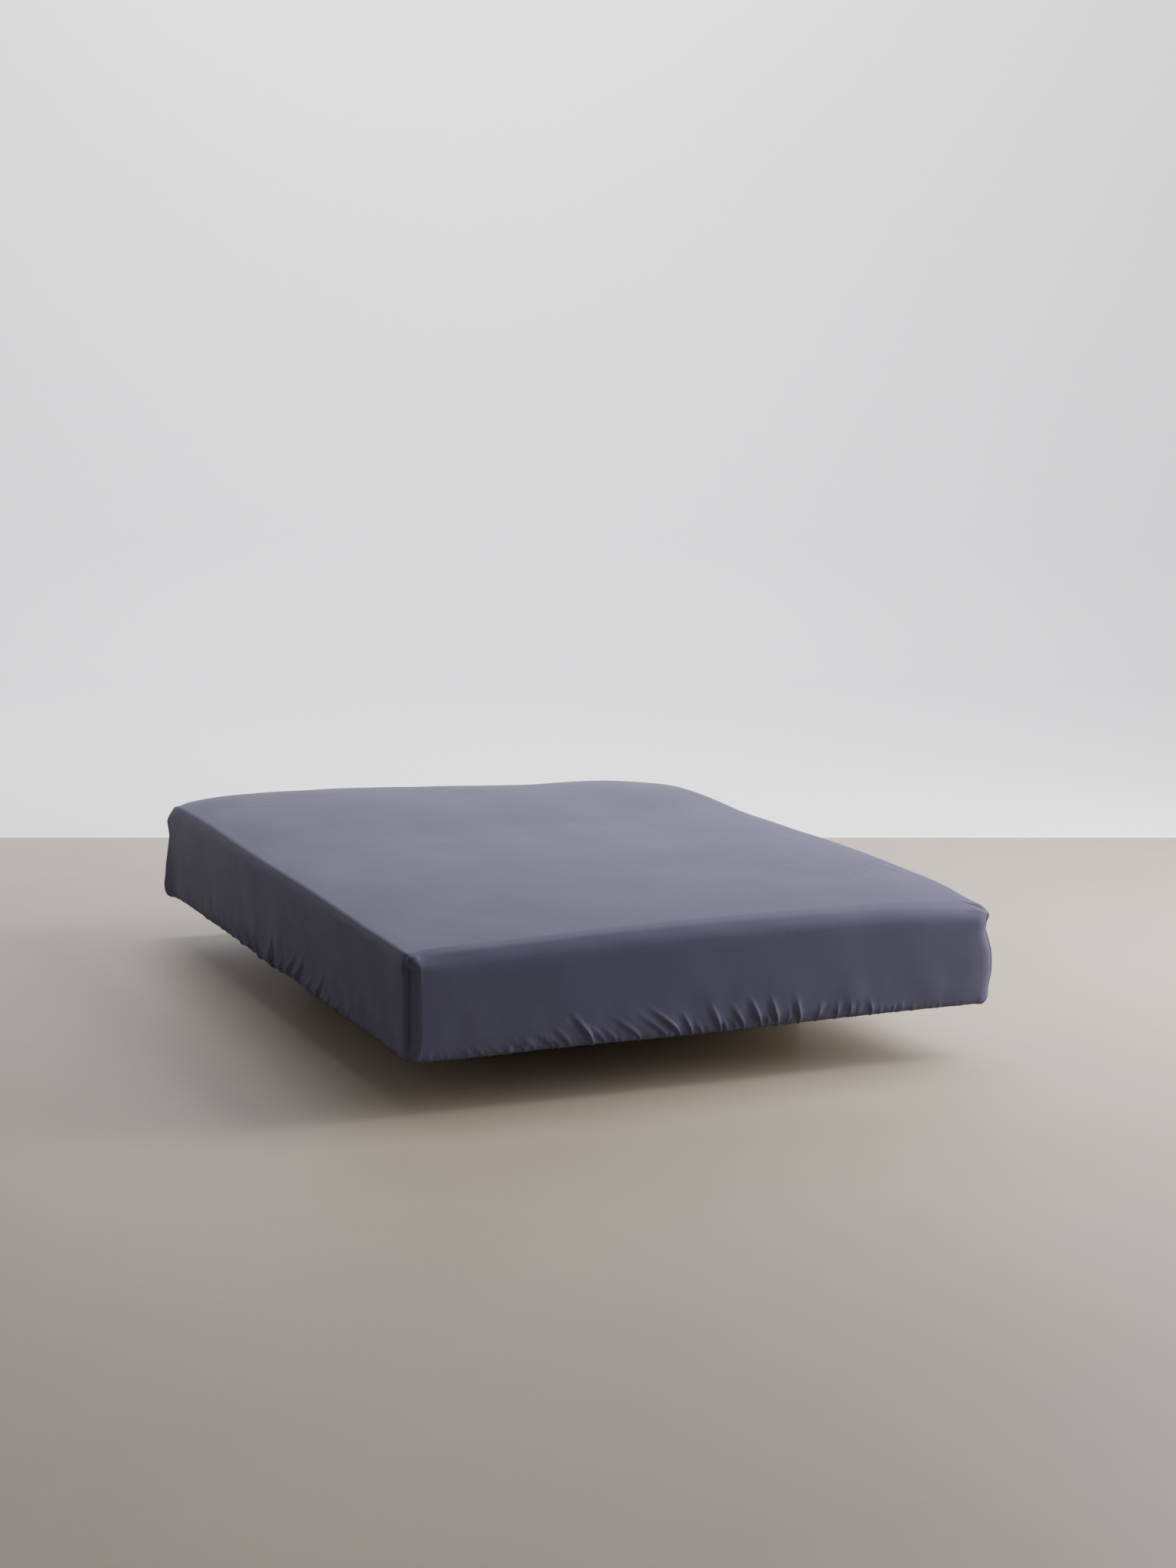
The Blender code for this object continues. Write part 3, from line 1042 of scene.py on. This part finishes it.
def add_step(surface, columns, upper_first, lower_first, high, low):
    """Joins the last coarse row to the first fine one, with one face to a coarse cell."""
    count, fine = len(columns.coarse), len(columns.fine)
    for c in range(count):
        n = (c + 1) % count
        start = columns.joins[c]
        end = columns.joins[n] if n else fine
        below = list(range(start, end + 1))
        places = [columns.fine[k] if k < fine else OUTLINE_LENGTH for k in below]
        corners = [upper_first + c, *[lower_first + k % fine for k in below], upper_first + n]
        weave = [(places[0], high), *[(p, low) for p in places], (places[-1], high)]
        surface.face(corners, weave)


def row_depths(rows, start):
    """Distance of each row down the cloth, from the mean step between rows."""
    steps = [np.linalg.norm(b - a, axis=1).mean() for a, b in zip(rows, rows[1:])]
    return [start - step for step in np.concatenate([[0.0], np.cumsum(steps)])]


def sheet_surface(sizes):
    """The sheet's outer face."""
    columns = skirt_columns(RIM_CELLS, PANEL_CELL, CORNER_CELLS, refine=True)
    surface = Surface()
    rim, rim_places = add_panel(surface, columns, lambda x, y: sheet_top(x, y, sizes.unevenness))
    rolled = roll_rows(columns, sizes)
    gathered = gather_rows(columns, sizes)
    rolled_depths = row_depths(rolled, -HALF_LENGTH)
    first, last = add_rows(surface, columns.coarse, rolled, rolled_depths)
    add_rim(surface, rim, rim_places, first, rolled[0])
    step = float(np.mean(rolled[-1][:, 2])) - GATHER_TOP
    gathered_depths = row_depths(gathered, rolled_depths[-1] - step)
    fine_first, _ = add_rows(surface, columns.fine, gathered, gathered_depths)
    add_step(surface, columns, last, fine_first, rolled_depths[-1], gathered_depths[0])
    return surface


# Materials

def new_material(name):
    """A material with its Principled shader. Gives the material, its tree and shader."""
    material = bpy.data.materials.new(name)
    material.use_nodes = True
    tree = material.node_tree
    return material, tree, tree.nodes["Principled BSDF"]


def add_node(tree, kind, links=(), **settings):
    """Adds a node. Settings name its properties, or its inputs with spaces as
    underscores, and links pair an input's name with the socket that feeds it."""
    node = tree.nodes.new(kind)
    for name, value in settings.items():
        if hasattr(node, name):
            setattr(node, name, value)
        else:
            node.inputs[name.replace("_", " ")].default_value = value
    for name, socket in links:
        tree.links.new(socket, node.inputs[name])
    return node


def shade(hex_colour, factor=1.0):
    """A colour made darker or lighter by a factor."""
    return (*[part * factor for part in linear(hex_colour)[:3]], 1.0)


def streaks(tree, place, scale, **settings):
    """Noise drawn out into streaks, by its scale along each axis."""
    stretched = add_node(tree, "ShaderNodeMapping", [("Vector", place)], Scale=scale)
    noise = add_node(
        tree, "ShaderNodeTexNoise", [("Vector", stretched.outputs["Vector"])],
        Scale=1.0, **settings,
    )
    return noise.outputs["Fac"]


def follow_pattern(tree, shader, pattern, shades, places=(0.0, 1.0), relief=None):
    """Lets a surface follow a pattern: its colour runs between two shades, and its relief
    is the strength and the depth of a bump."""
    blend = add_node(tree, "ShaderNodeValToRGB", [("Fac", pattern)])
    for end, colour, place in zip(blend.color_ramp.elements, shades, places):
        end.position = place
        end.color = colour
    tree.links.new(blend.outputs["Color"], shader.inputs["Base Color"])
    if relief:
        strength, depth = relief
        raised = add_node(
            tree, "ShaderNodeBump", [("Height", pattern)], Strength=strength, Distance=depth,
        )
        tree.links.new(raised.outputs["Normal"], shader.inputs["Normal"])


def sateen_material(settings):
    """Cotton sateen, piece-dyed and calendered: long floats of yarn lie side by side, so
    the cloth is smooth with a soft gloss and shows fine streaks along the yarns."""
    material, tree, shader = new_material("cotton_sateen_dyed")
    shader.inputs["Specular IOR Level"].default_value = 0.02
    shader.inputs["Sheen Weight"].default_value = 0.02
    shader.inputs["Sheen Roughness"].default_value = 0.42
    shader.inputs["Sheen Tint"].default_value = linear("#A9A9C4")

    weave = add_node(tree, "ShaderNodeUVMap", uv_map="weave").outputs["UV"]
    # Yarns drawn 2.5 mm wide and 0.3 m long, many times coarser than the real 0.15 mm
    warp, weft = [
        streaks(tree, weave, scale, noise_dimensions="2D", Detail=3.0, Roughness=0.6)
        for scale in ((3.3, 400.0, 1.0), (400.0, 3.3, 1.0))
    ]
    # Cloudy unevenness of the dye, 15 to 40 cm across
    clouds = add_node(
        tree, "ShaderNodeTexNoise", [("Vector", weave)],
        noise_dimensions="2D", Scale=4.5, Detail=4.0, Roughness=0.55,
    )
    threads = add_node(tree, "ShaderNodeMath", [(0, warp), (1, weft)], operation="ADD")
    mixed = add_node(
        tree, "ShaderNodeMath",
        [(0, threads.outputs["Value"]), (1, clouds.outputs["Fac"])], operation="ADD",
    )
    tone, gloss = [
        add_node(
            tree, "ShaderNodeMapRange", [("Value", mixed.outputs["Value"])],
            From_Min=1.05, From_Max=1.95, To_Min=low, To_Max=high,
        )
        for low, high in ((0.0, 1.0), (0.52, 0.44))
    ]
    shades = (shade(settings.slate, 0.95), shade(settings.slate, 1.05))
    follow_pattern(tree, shader, tone.outputs["Result"], shades)
    tree.links.new(gloss.outputs["Result"], shader.inputs["Roughness"])
    raised = add_node(
        tree, "ShaderNodeBump", [("Height", threads.outputs["Value"])],
        Strength=0.25, Distance=0.0001,
    )
    tree.links.new(raised.outputs["Normal"], shader.inputs["Normal"])
    return material


def thread_material(settings):
    """Spun polyester sewing thread, twisted: dull, and a little lighter on the ridges of its twist,
    a painted highlight, with painted shade in the grooves between them.
    """
    material, tree, shader = new_material("sewing_thread_twisted")
    shader.inputs["Roughness"].default_value = 0.62
    shader.inputs["Sheen Weight"].default_value = 0.15
    place = add_node(tree, "ShaderNodeTexCoord")
    # Twist of the thread, one turn in 1.2 mm: its bands paint shade and highlight across the turns
    twist_shading = add_node(
        tree, "ShaderNodeTexWave", [("Vector", place.outputs["Object"])],
        bands_direction="DIAGONAL", Scale=260.0, Distortion=1.5,
    )
    # The darker of the two shades is painted shade in the grooves of the twist
    shades = (shade(settings.thread, 0.75), shade(settings.thread))
    follow_pattern(tree, shader, twist_shading.outputs["Fac"], shades)
    return material


def ticking_material(settings):
    """Cotton ticking, closely woven and undyed: matt, with slubs along both yarns."""
    material, tree, shader = new_material("cotton_ticking_woven")
    shader.inputs["Roughness"].default_value = 0.88
    shader.inputs["Sheen Weight"].default_value = 0.20
    place = add_node(tree, "ShaderNodeTexCoord").outputs["Object"]
    # Slubs drawn 1.5 mm wide and 25 mm long
    along, across = [
        streaks(tree, place, scale, Detail=2.0)
        for scale in ((40.0, 650.0, 300.0), (650.0, 40.0, 300.0))
    ]
    both = add_node(tree, "ShaderNodeMath", [(0, along), (1, across)], operation="MULTIPLY")
    shades = (shade(settings.ticking, 0.82), shade(settings.ticking))
    follow_pattern(tree, shader, both.outputs["Value"], shades, (0.12, 0.45), (0.6, 0.0006))
    return material


def wood_material(settings):
    """Beech, planed and stained dark: grain in long streaks under a thin satin coat."""
    material, tree, shader = new_material("beech_stained")
    shader.inputs["Roughness"].default_value = 0.48
    place = add_node(tree, "ShaderNodeTexCoord").outputs["Object"]
    # Grain 6 mm wide and 0.4 m long, along the plinth
    grain = streaks(tree, place, (165.0, 2.5, 165.0), Detail=6.0, Roughness=0.6, Distortion=0.4)
    shades = (shade(settings.wood, 0.55), shade(settings.wood))
    follow_pattern(tree, shader, grain, shades, (0.35, 0.68), (0.25, 0.0005))
    return material


def floor_material(settings):
    """Screed, trowelled and sealed: matt and pale, with cloudy patches."""
    material, tree, shader = new_material("screed_trowelled")
    shader.inputs["Roughness"].default_value = 0.55
    shader.inputs["Specular IOR Level"].default_value = 0.35
    place = add_node(tree, "ShaderNodeTexCoord")
    clouds = add_node(
        tree, "ShaderNodeTexNoise", [("Vector", place.outputs["Object"])],
        Scale=0.9, Detail=7.0, Roughness=0.6,
    )
    shades = (shade(settings.floor, 0.90), shade(settings.floor, 1.06))
    follow_pattern(tree, shader, clouds.outputs["Fac"], shades, (0.25, 0.75))
    return material


def wall_material(settings):
    """Emulsion paint on plaster, rolled: matt, almost white."""
    material, tree, shader = new_material("plaster_painted")
    shader.inputs["Roughness"].default_value = 0.9
    place = add_node(tree, "ShaderNodeTexCoord")
    clouds = add_node(
        tree, "ShaderNodeTexNoise", [("Vector", place.outputs["Object"])],
        Scale=0.3, Detail=3.0,
    )
    shades = (shade(settings.wall, 0.97), shade(settings.wall))
    follow_pattern(tree, shader, clouds.outputs["Fac"], shades)
    return material


# Pieces

def new_piece(name, data, material):
    """An object at the origin, whose place is in its mesh."""
    if not data.materials:
        data.materials.append(material)
    piece = bpy.data.objects.new(name, data)
    bpy.context.scene.collection.objects.link(piece)
    return piece


def made_plain(piece, modifier):
    """Replaces a piece's mesh by what its modifier makes, and removes the modifier."""
    evaluated = piece.evaluated_get(bpy.context.evaluated_depsgraph_get())
    data = bpy.data.meshes.new_from_object(evaluated)
    piece.modifiers.remove(modifier)
    old = piece.data
    piece.data = data
    bpy.data.meshes.remove(old)


class BuildSheet(bpy.types.Operator):
    """Build the fitted sheet with its gathers, seams and soft unevenness"""

    bl_idname = "fitted_bed.build_sheet"
    bl_label = "Build Sheet"

    def execute(self, context):
        sizes = context.scene.sheet_sizes
        data = sheet_surface(sizes).mesh("sheet_cloth")
        sheet = new_piece("sheet_cloth", data, sateen_material(sizes))
        shell = sheet.modifiers.new("Thickness", "SOLIDIFY")
        shell.thickness = sizes.thickness
        shell.offset = -1.0
        shell.use_even_offset = False
        made_plain(sheet, shell)
        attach(sheet, BODY)
        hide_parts("fitted_sheet")
        return {"FINISHED"}


# The mattress keeps clear of the sheet above it, and most at the corners
MATTRESS_CLEARANCE = 0.006
CORNER_ROOM = 0.010
MATTRESS_RIM_CELLS = (0.012, 0.020)
MATTRESS_CELL = 0.045
MATTRESS_CORNER_CELLS = 8
MATTRESS_ROLL = (
    # inset, drop below the top
    (0.040, 0.000),
    (0.030, 0.003),
    (0.022, 0.012),
    (0.015, 0.030),
    (0.011, 0.056),
)
MATTRESS_ROWS = (
    # height, inset
    (0.120, 0.010),
    (0.060, 0.010),
    (0.030, 0.011),
    (0.014, 0.014),
    (0.005, 0.020),
    (0.001, 0.029),
    (0.000, 0.038),
)


class BuildMattress(bpy.types.Operator):
    """Build the mattress that fills the sheet"""

    bl_idname = "fitted_bed.build_mattress"
    bl_label = "Build Mattress"

    def execute(self, context):
        columns = skirt_columns(
            MATTRESS_RIM_CELLS, MATTRESS_CELL, MATTRESS_CORNER_CELLS, refine=False
        )
        surface = Surface()

        def top(x, y):
            return top_height(x, y) - MATTRESS_CLEARANCE

        station = columns.coarse
        fall = corner_fall(station)
        room = CORNER_ROOM * near_corner(station)
        rows = []
        for inset, drop in MATTRESS_ROLL:
            x, y = outline(station, inset + room)
            height = top(x, y) - drop - fall * ramp(0.040 - inset, 0.0, 0.015)
            rows.append(np.stack([x, y, height], axis=1))
        for height, inset in MATTRESS_ROWS:
            x, y = outline(station, inset + room)
            rows.append(np.stack([x, y, np.full(x.shape, height)], axis=1))
        depths = row_depths(rows, -HALF_LENGTH)
        rim, rim_places = add_panel(surface, columns, top)
        first, last = add_rows(surface, station, rows, depths)
        add_rim(surface, rim, rim_places, first, rows[0])
        under, under_places = add_panel(surface, columns, lambda x, y: 0.0 * x, turned=True)
        add_rim(surface, under, under_places, last, rows[-1], turned=True)
        material = ticking_material(context.scene.base_finishes)
        mattress = new_piece("mattress_pad", surface.mesh("mattress_pad"), material)
        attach(mattress, BODY)
        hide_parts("mattress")
        return {"FINISHED"}


# The stitches lie this share of the way from the last row but one to the hem's end
STITCH_SHARE = 0.57
STITCH_DROP = 0.0002


def hem_path(sizes):
    """The line that the hem's stitches follow, just under the hem, as a closed curve."""
    columns = skirt_columns(RIM_CELLS, PANEL_CELL, CORNER_CELLS, refine=True)
    gathered = gather_rows(columns, sizes)
    row = gathered[-2] * (1 - STITCH_SHARE) + gathered[-1] * STITCH_SHARE
    places = row + np.array([0.0, 0.0, UNDERSIDE - STITCH_DROP])
    curve = bpy.data.curves.new("hem_line", "CURVE")
    curve.dimensions = "3D"
    spline = curve.splines.new("POLY")
    spline.points.add(len(places) - 1)
    flat = np.concatenate([places, np.ones((len(places), 1))], axis=1)
    spline.points.foreach_set("co", flat.ravel())
    spline.use_cyclic_u = True
    return curve


def stitch_tree(material):
    """Geometry Nodes that lay one stitch after another along a curve."""
    tree = bpy.data.node_groups.new("stitches_along_a_line", "GeometryNodeTree")
    face = tree.interface
    face.new_socket("Geometry", in_out="INPUT", socket_type="NodeSocketGeometry")
    inputs = {}
    for name in ("Pitch", "Length", "Width"):
        socket = face.new_socket(name, in_out="INPUT", socket_type="NodeSocketFloat")
        inputs[name] = socket.identifier
    face.new_socket("Geometry", in_out="OUTPUT", socket_type="NodeSocketGeometry")
    group_in = tree.nodes.new("NodeGroupInput")
    group_out = tree.nodes.new("NodeGroupOutput")
    stations = add_node(
        tree, "GeometryNodeCurveToPoints",
        [("Curve", group_in.outputs["Geometry"]), ("Length", group_in.outputs["Pitch"])],
        mode="LENGTH",
    )
    radius = add_node(
        tree, "ShaderNodeMath", [(0, group_in.outputs["Width"])], operation="MULTIPLY",
    )
    radius.inputs[1].default_value = 0.5
    # Six sides with closed ends are enough for a thread under a millimetre wide
    stitch = add_node(
        tree, "GeometryNodeMeshCylinder",
        [("Radius", radius.outputs["Value"]), ("Depth", group_in.outputs["Length"])],
        Vertices=6,
    )
    laid = add_node(
        tree, "GeometryNodeInstanceOnPoints",
        [
            ("Points", stations.outputs["Points"]),
            ("Instance", stitch.outputs["Mesh"]),
            ("Rotation", stations.outputs["Rotation"]),
        ],
    )
    realized = add_node(
        tree, "GeometryNodeRealizeInstances", [("Geometry", laid.outputs["Instances"])]
    )
    finished = add_node(
        tree, "GeometryNodeSetMaterial", [("Geometry", realized.outputs["Geometry"])]
    )
    finished.inputs["Material"].default_value = material
    tree.links.new(finished.outputs["Geometry"], group_out.inputs["Geometry"])
    return tree, inputs


class BuildHemStitches(bpy.types.Operator):
    """Sew the row of stitches that closes the hem over its elastic"""

    bl_idname = "fitted_bed.build_hem_stitches"
    bl_label = "Build Hem Stitches"

    def execute(self, context):
        sizes = context.scene.stitch_sizes
        material = thread_material(sizes)
        curve = hem_path(context.scene.sheet_sizes)
        line = bpy.data.objects.new("hem_line", curve)
        context.scene.collection.objects.link(line)
        tree, inputs = stitch_tree(material)
        modifier = line.modifiers.new("Stitches", "NODES")
        modifier.node_group = tree
        modifier[inputs["Pitch"]] = sizes.pitch
        modifier[inputs["Length"]] = sizes.length
        modifier[inputs["Width"]] = sizes.width
        evaluated = line.evaluated_get(context.evaluated_depsgraph_get())
        data = bpy.data.meshes.new_from_object(evaluated)
        bpy.data.objects.remove(line)
        bpy.data.curves.remove(curve)
        if not data.polygons:
            raise RuntimeError("the hem's stitches came out empty")
        stitches = new_piece("hem_stitches", data, material)
        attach(stitches, BODY)
        return {"FINISHED"}


class DressPlinth(bpy.types.Operator):
    """Give the plinth its stained wood"""

    bl_idname = "fitted_bed.dress_plinth"
    bl_label = "Dress Plinth"

    def execute(self, context):
        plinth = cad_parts["plinth"]
        material = wood_material(context.scene.base_finishes)
        if plinth.material_slots:
            for slot in plinth.material_slots:
                slot.material = material
        else:
            plinth.data.materials.append(material)
        return {"FINISHED"}


# Stage

# The room is a square with round corners, turned to face the camera. Its backdrop runs
# down the walls and on under the floor, which ends at a line behind the bed.
ROOM_TURN = math.radians(-22.6)
ROOM_HALF = 7.9
ROOM_SHIFT = -1.0
ROOM_SQUARENESS = 10
COVE_RADIUS = 0.6
WALL_HEIGHT = 7.0
FLOOR_LINE = 2.19
FLOOR_STEP = 0.004

CAMERA_PLACE = (-2.640, -6.651, UNDERSIDE + 1.537)
CAMERA_TURN = (math.radians(81.0), 0.0, ROOM_TURN)
CAMERA_LENS = 66.8


class Lamp(NamedTuple):
    """A square soft light: its place, what it faces, its size, the setting that holds
    its power, and its colour."""

    name: str
    place: tuple
    target: tuple
    size: tuple
    power: str
    colour: str


LAMPS = (
    # name, place, target, size, power, colour
    Lamp("window_light", (2.9, -0.6, 2.6), (0.2, -0.3, 0.25), (2.0, 2.2), "key_power", "#FFFDFA"),
    Lamp("side_light", (3.6, -1.6, 1.4), (0.6, -0.6, 0.25), (1.6, 1.6), "side_power", "#F4F7FF"),
    Lamp("fill_light", (3.2, -3.2, 1.5), (0.6, -1.0, 0.2), (1.8, 1.8), "fill_power", "#F4F7FF"),
    Lamp("wall_light", (0.6, 2.6, 6.0), (2.6, 6.4, 2.2), (5.0, 2.0), "wash_power", "#FBFCFF"),
)


def room_surface(name, profile, steps=120):
    """A surface swept round the room from a profile of distance and height."""
    points, faces = [], []
    for distance, height in profile:
        for step in range(steps):
            turn = 2 * math.pi * step / steps
            across, along = math.cos(turn), math.sin(turn)
            power = ROOM_SQUARENESS
            reach = distance / (abs(across) ** power + abs(along) ** power) ** (1 / power)
            place = Vector((reach * across, reach * along + ROOM_SHIFT))
            place.rotate(Matrix.Rotation(ROOM_TURN, 2))
            points.append((place.x, place.y, height))
    for row in range(len(profile) - 1):
        for step in range(steps):
            nxt = (step + 1) % steps
            a, b = row * steps, (row + 1) * steps
            faces.append((a + step, a + nxt, b + nxt, b + step))
    data = bpy.data.meshes.new(name)
    data.from_pydata(points, [], faces)
    data.shade_smooth()
    return data


def floor_slab(name):
    """The floor: one flat rectangle whose far side is the line behind the bed."""
    reach = ROOM_HALF - COVE_RADIUS
    near = ROOM_SHIFT - reach
    points = []
    for across, along in ((-reach, near), (reach, near), (reach, FLOOR_LINE), (-reach, FLOOR_LINE)):
        place = Vector((across, along))
        place.rotate(Matrix.Rotation(ROOM_TURN, 2))
        points.append((place.x, place.y, 0.0))
    data = bpy.data.meshes.new(name)
    data.from_pydata(points, [], [(0, 1, 2, 3)])
    return data


def add_light(lamp, power):
    """Adds a soft light that faces its target."""
    light = bpy.data.lights.new(lamp.name, "AREA")
    light.shape = "RECTANGLE"
    light.size, light.size_y = lamp.size
    light.energy = power
    light.color = linear(lamp.colour)[:3]
    holder = bpy.data.objects.new(lamp.name, light)
    holder.location = lamp.place
    facing = Vector(lamp.target) - Vector(lamp.place)
    holder.rotation_euler = facing.to_track_quat("-Z", "Y").to_euler()
    bpy.context.scene.collection.objects.link(holder)


class BuildStage(bpy.types.Operator):
    """Build the pale floor, the backdrop, the soft lights and the camera"""

    bl_idname = "fitted_bed.build_stage"
    bl_label = "Build Stage"

    def execute(self, context):
        settings = context.scene.stage_settings
        floor = new_piece("floor", floor_slab("floor"), floor_material(settings))
        cove = [(0.001, -FLOOR_STEP)]
        cove += [
            (
                ROOM_HALF - COVE_RADIUS * (1 - math.sin(turn)),
                COVE_RADIUS * (1 - math.cos(turn)) - FLOOR_STEP,
            )
            for turn in np.linspace(0, math.pi / 2, 25)
        ]
        cove.append((ROOM_HALF, WALL_HEIGHT))
        wall = new_piece("backdrop", room_surface("backdrop", cove), wall_material(settings))

        for lamp in LAMPS:
            add_light(lamp, getattr(settings, lamp.power))

        world = bpy.data.worlds.new("studio_air")
        world.use_nodes = True
        air = world.node_tree.nodes["Background"]
        air.inputs["Color"].default_value = linear("#EDEFF5")
        air.inputs["Strength"].default_value = settings.ambient
        context.scene.world = world

        lens = bpy.data.cameras.new("studio_camera")
        lens.lens = CAMERA_LENS
        lens.sensor_width = 36.0
        lens.clip_end = 60.0
        camera = bpy.data.objects.new("studio_camera", lens)
        camera.location = CAMERA_PLACE
        camera.rotation_euler = CAMERA_TURN
        context.scene.collection.objects.link(camera)
        context.scene.camera = camera
        return {"FINISHED"}


class FittedBedPanel(bpy.types.Panel):
    """Lists the pieces, their sizes and the stage"""

    bl_idname = "VIEW3D_PT_fitted_bed"
    bl_label = "Fitted Sheet"
    bl_space_type = "VIEW_3D"
    bl_region_type = "UI"
    bl_category = "Fitted Sheet"

    def draw(self, context):
        scene = context.scene
        for group, operators in (
            (scene.sheet_sizes, (BuildSheet,)),
            (scene.stitch_sizes, (BuildHemStitches,)),
            (scene.base_finishes, (BuildMattress, DressPlinth)),
            (scene.stage_settings, (BuildStage,)),
        ):
            box = self.layout.box()
            for name in group.__annotations__:
                box.prop(group, name)
            for operator in operators:
                box.operator(operator.bl_idname)


GROUPS = {
    "sheet_sizes": SheetSizes,
    "stitch_sizes": StitchSizes,
    "base_finishes": BaseFinishes,
    "stage_settings": StageSettings,
}
OPERATORS = (BuildStage, BuildMattress, BuildSheet, BuildHemStitches, DressPlinth)


def register():
    for item in (*GROUPS.values(), *OPERATORS, FittedBedPanel):
        bpy.utils.register_class(item)
    for name, group in GROUPS.items():
        setattr(bpy.types.Scene, name, bpy.props.PointerProperty(type=group))


def unregister():
    for name in GROUPS:
        delattr(bpy.types.Scene, name)
    for item in (FittedBedPanel, *reversed(OPERATORS), *reversed(GROUPS.values())):
        bpy.utils.unregister_class(item)


def main():
    register()
    bpy.ops.fitted_bed.build_stage()
    bpy.ops.fitted_bed.build_mattress()
    bpy.ops.fitted_bed.build_sheet()
    bpy.ops.fitted_bed.build_hem_stitches()
    bpy.ops.fitted_bed.dress_plinth()


if __name__ == "__main__":
    main()
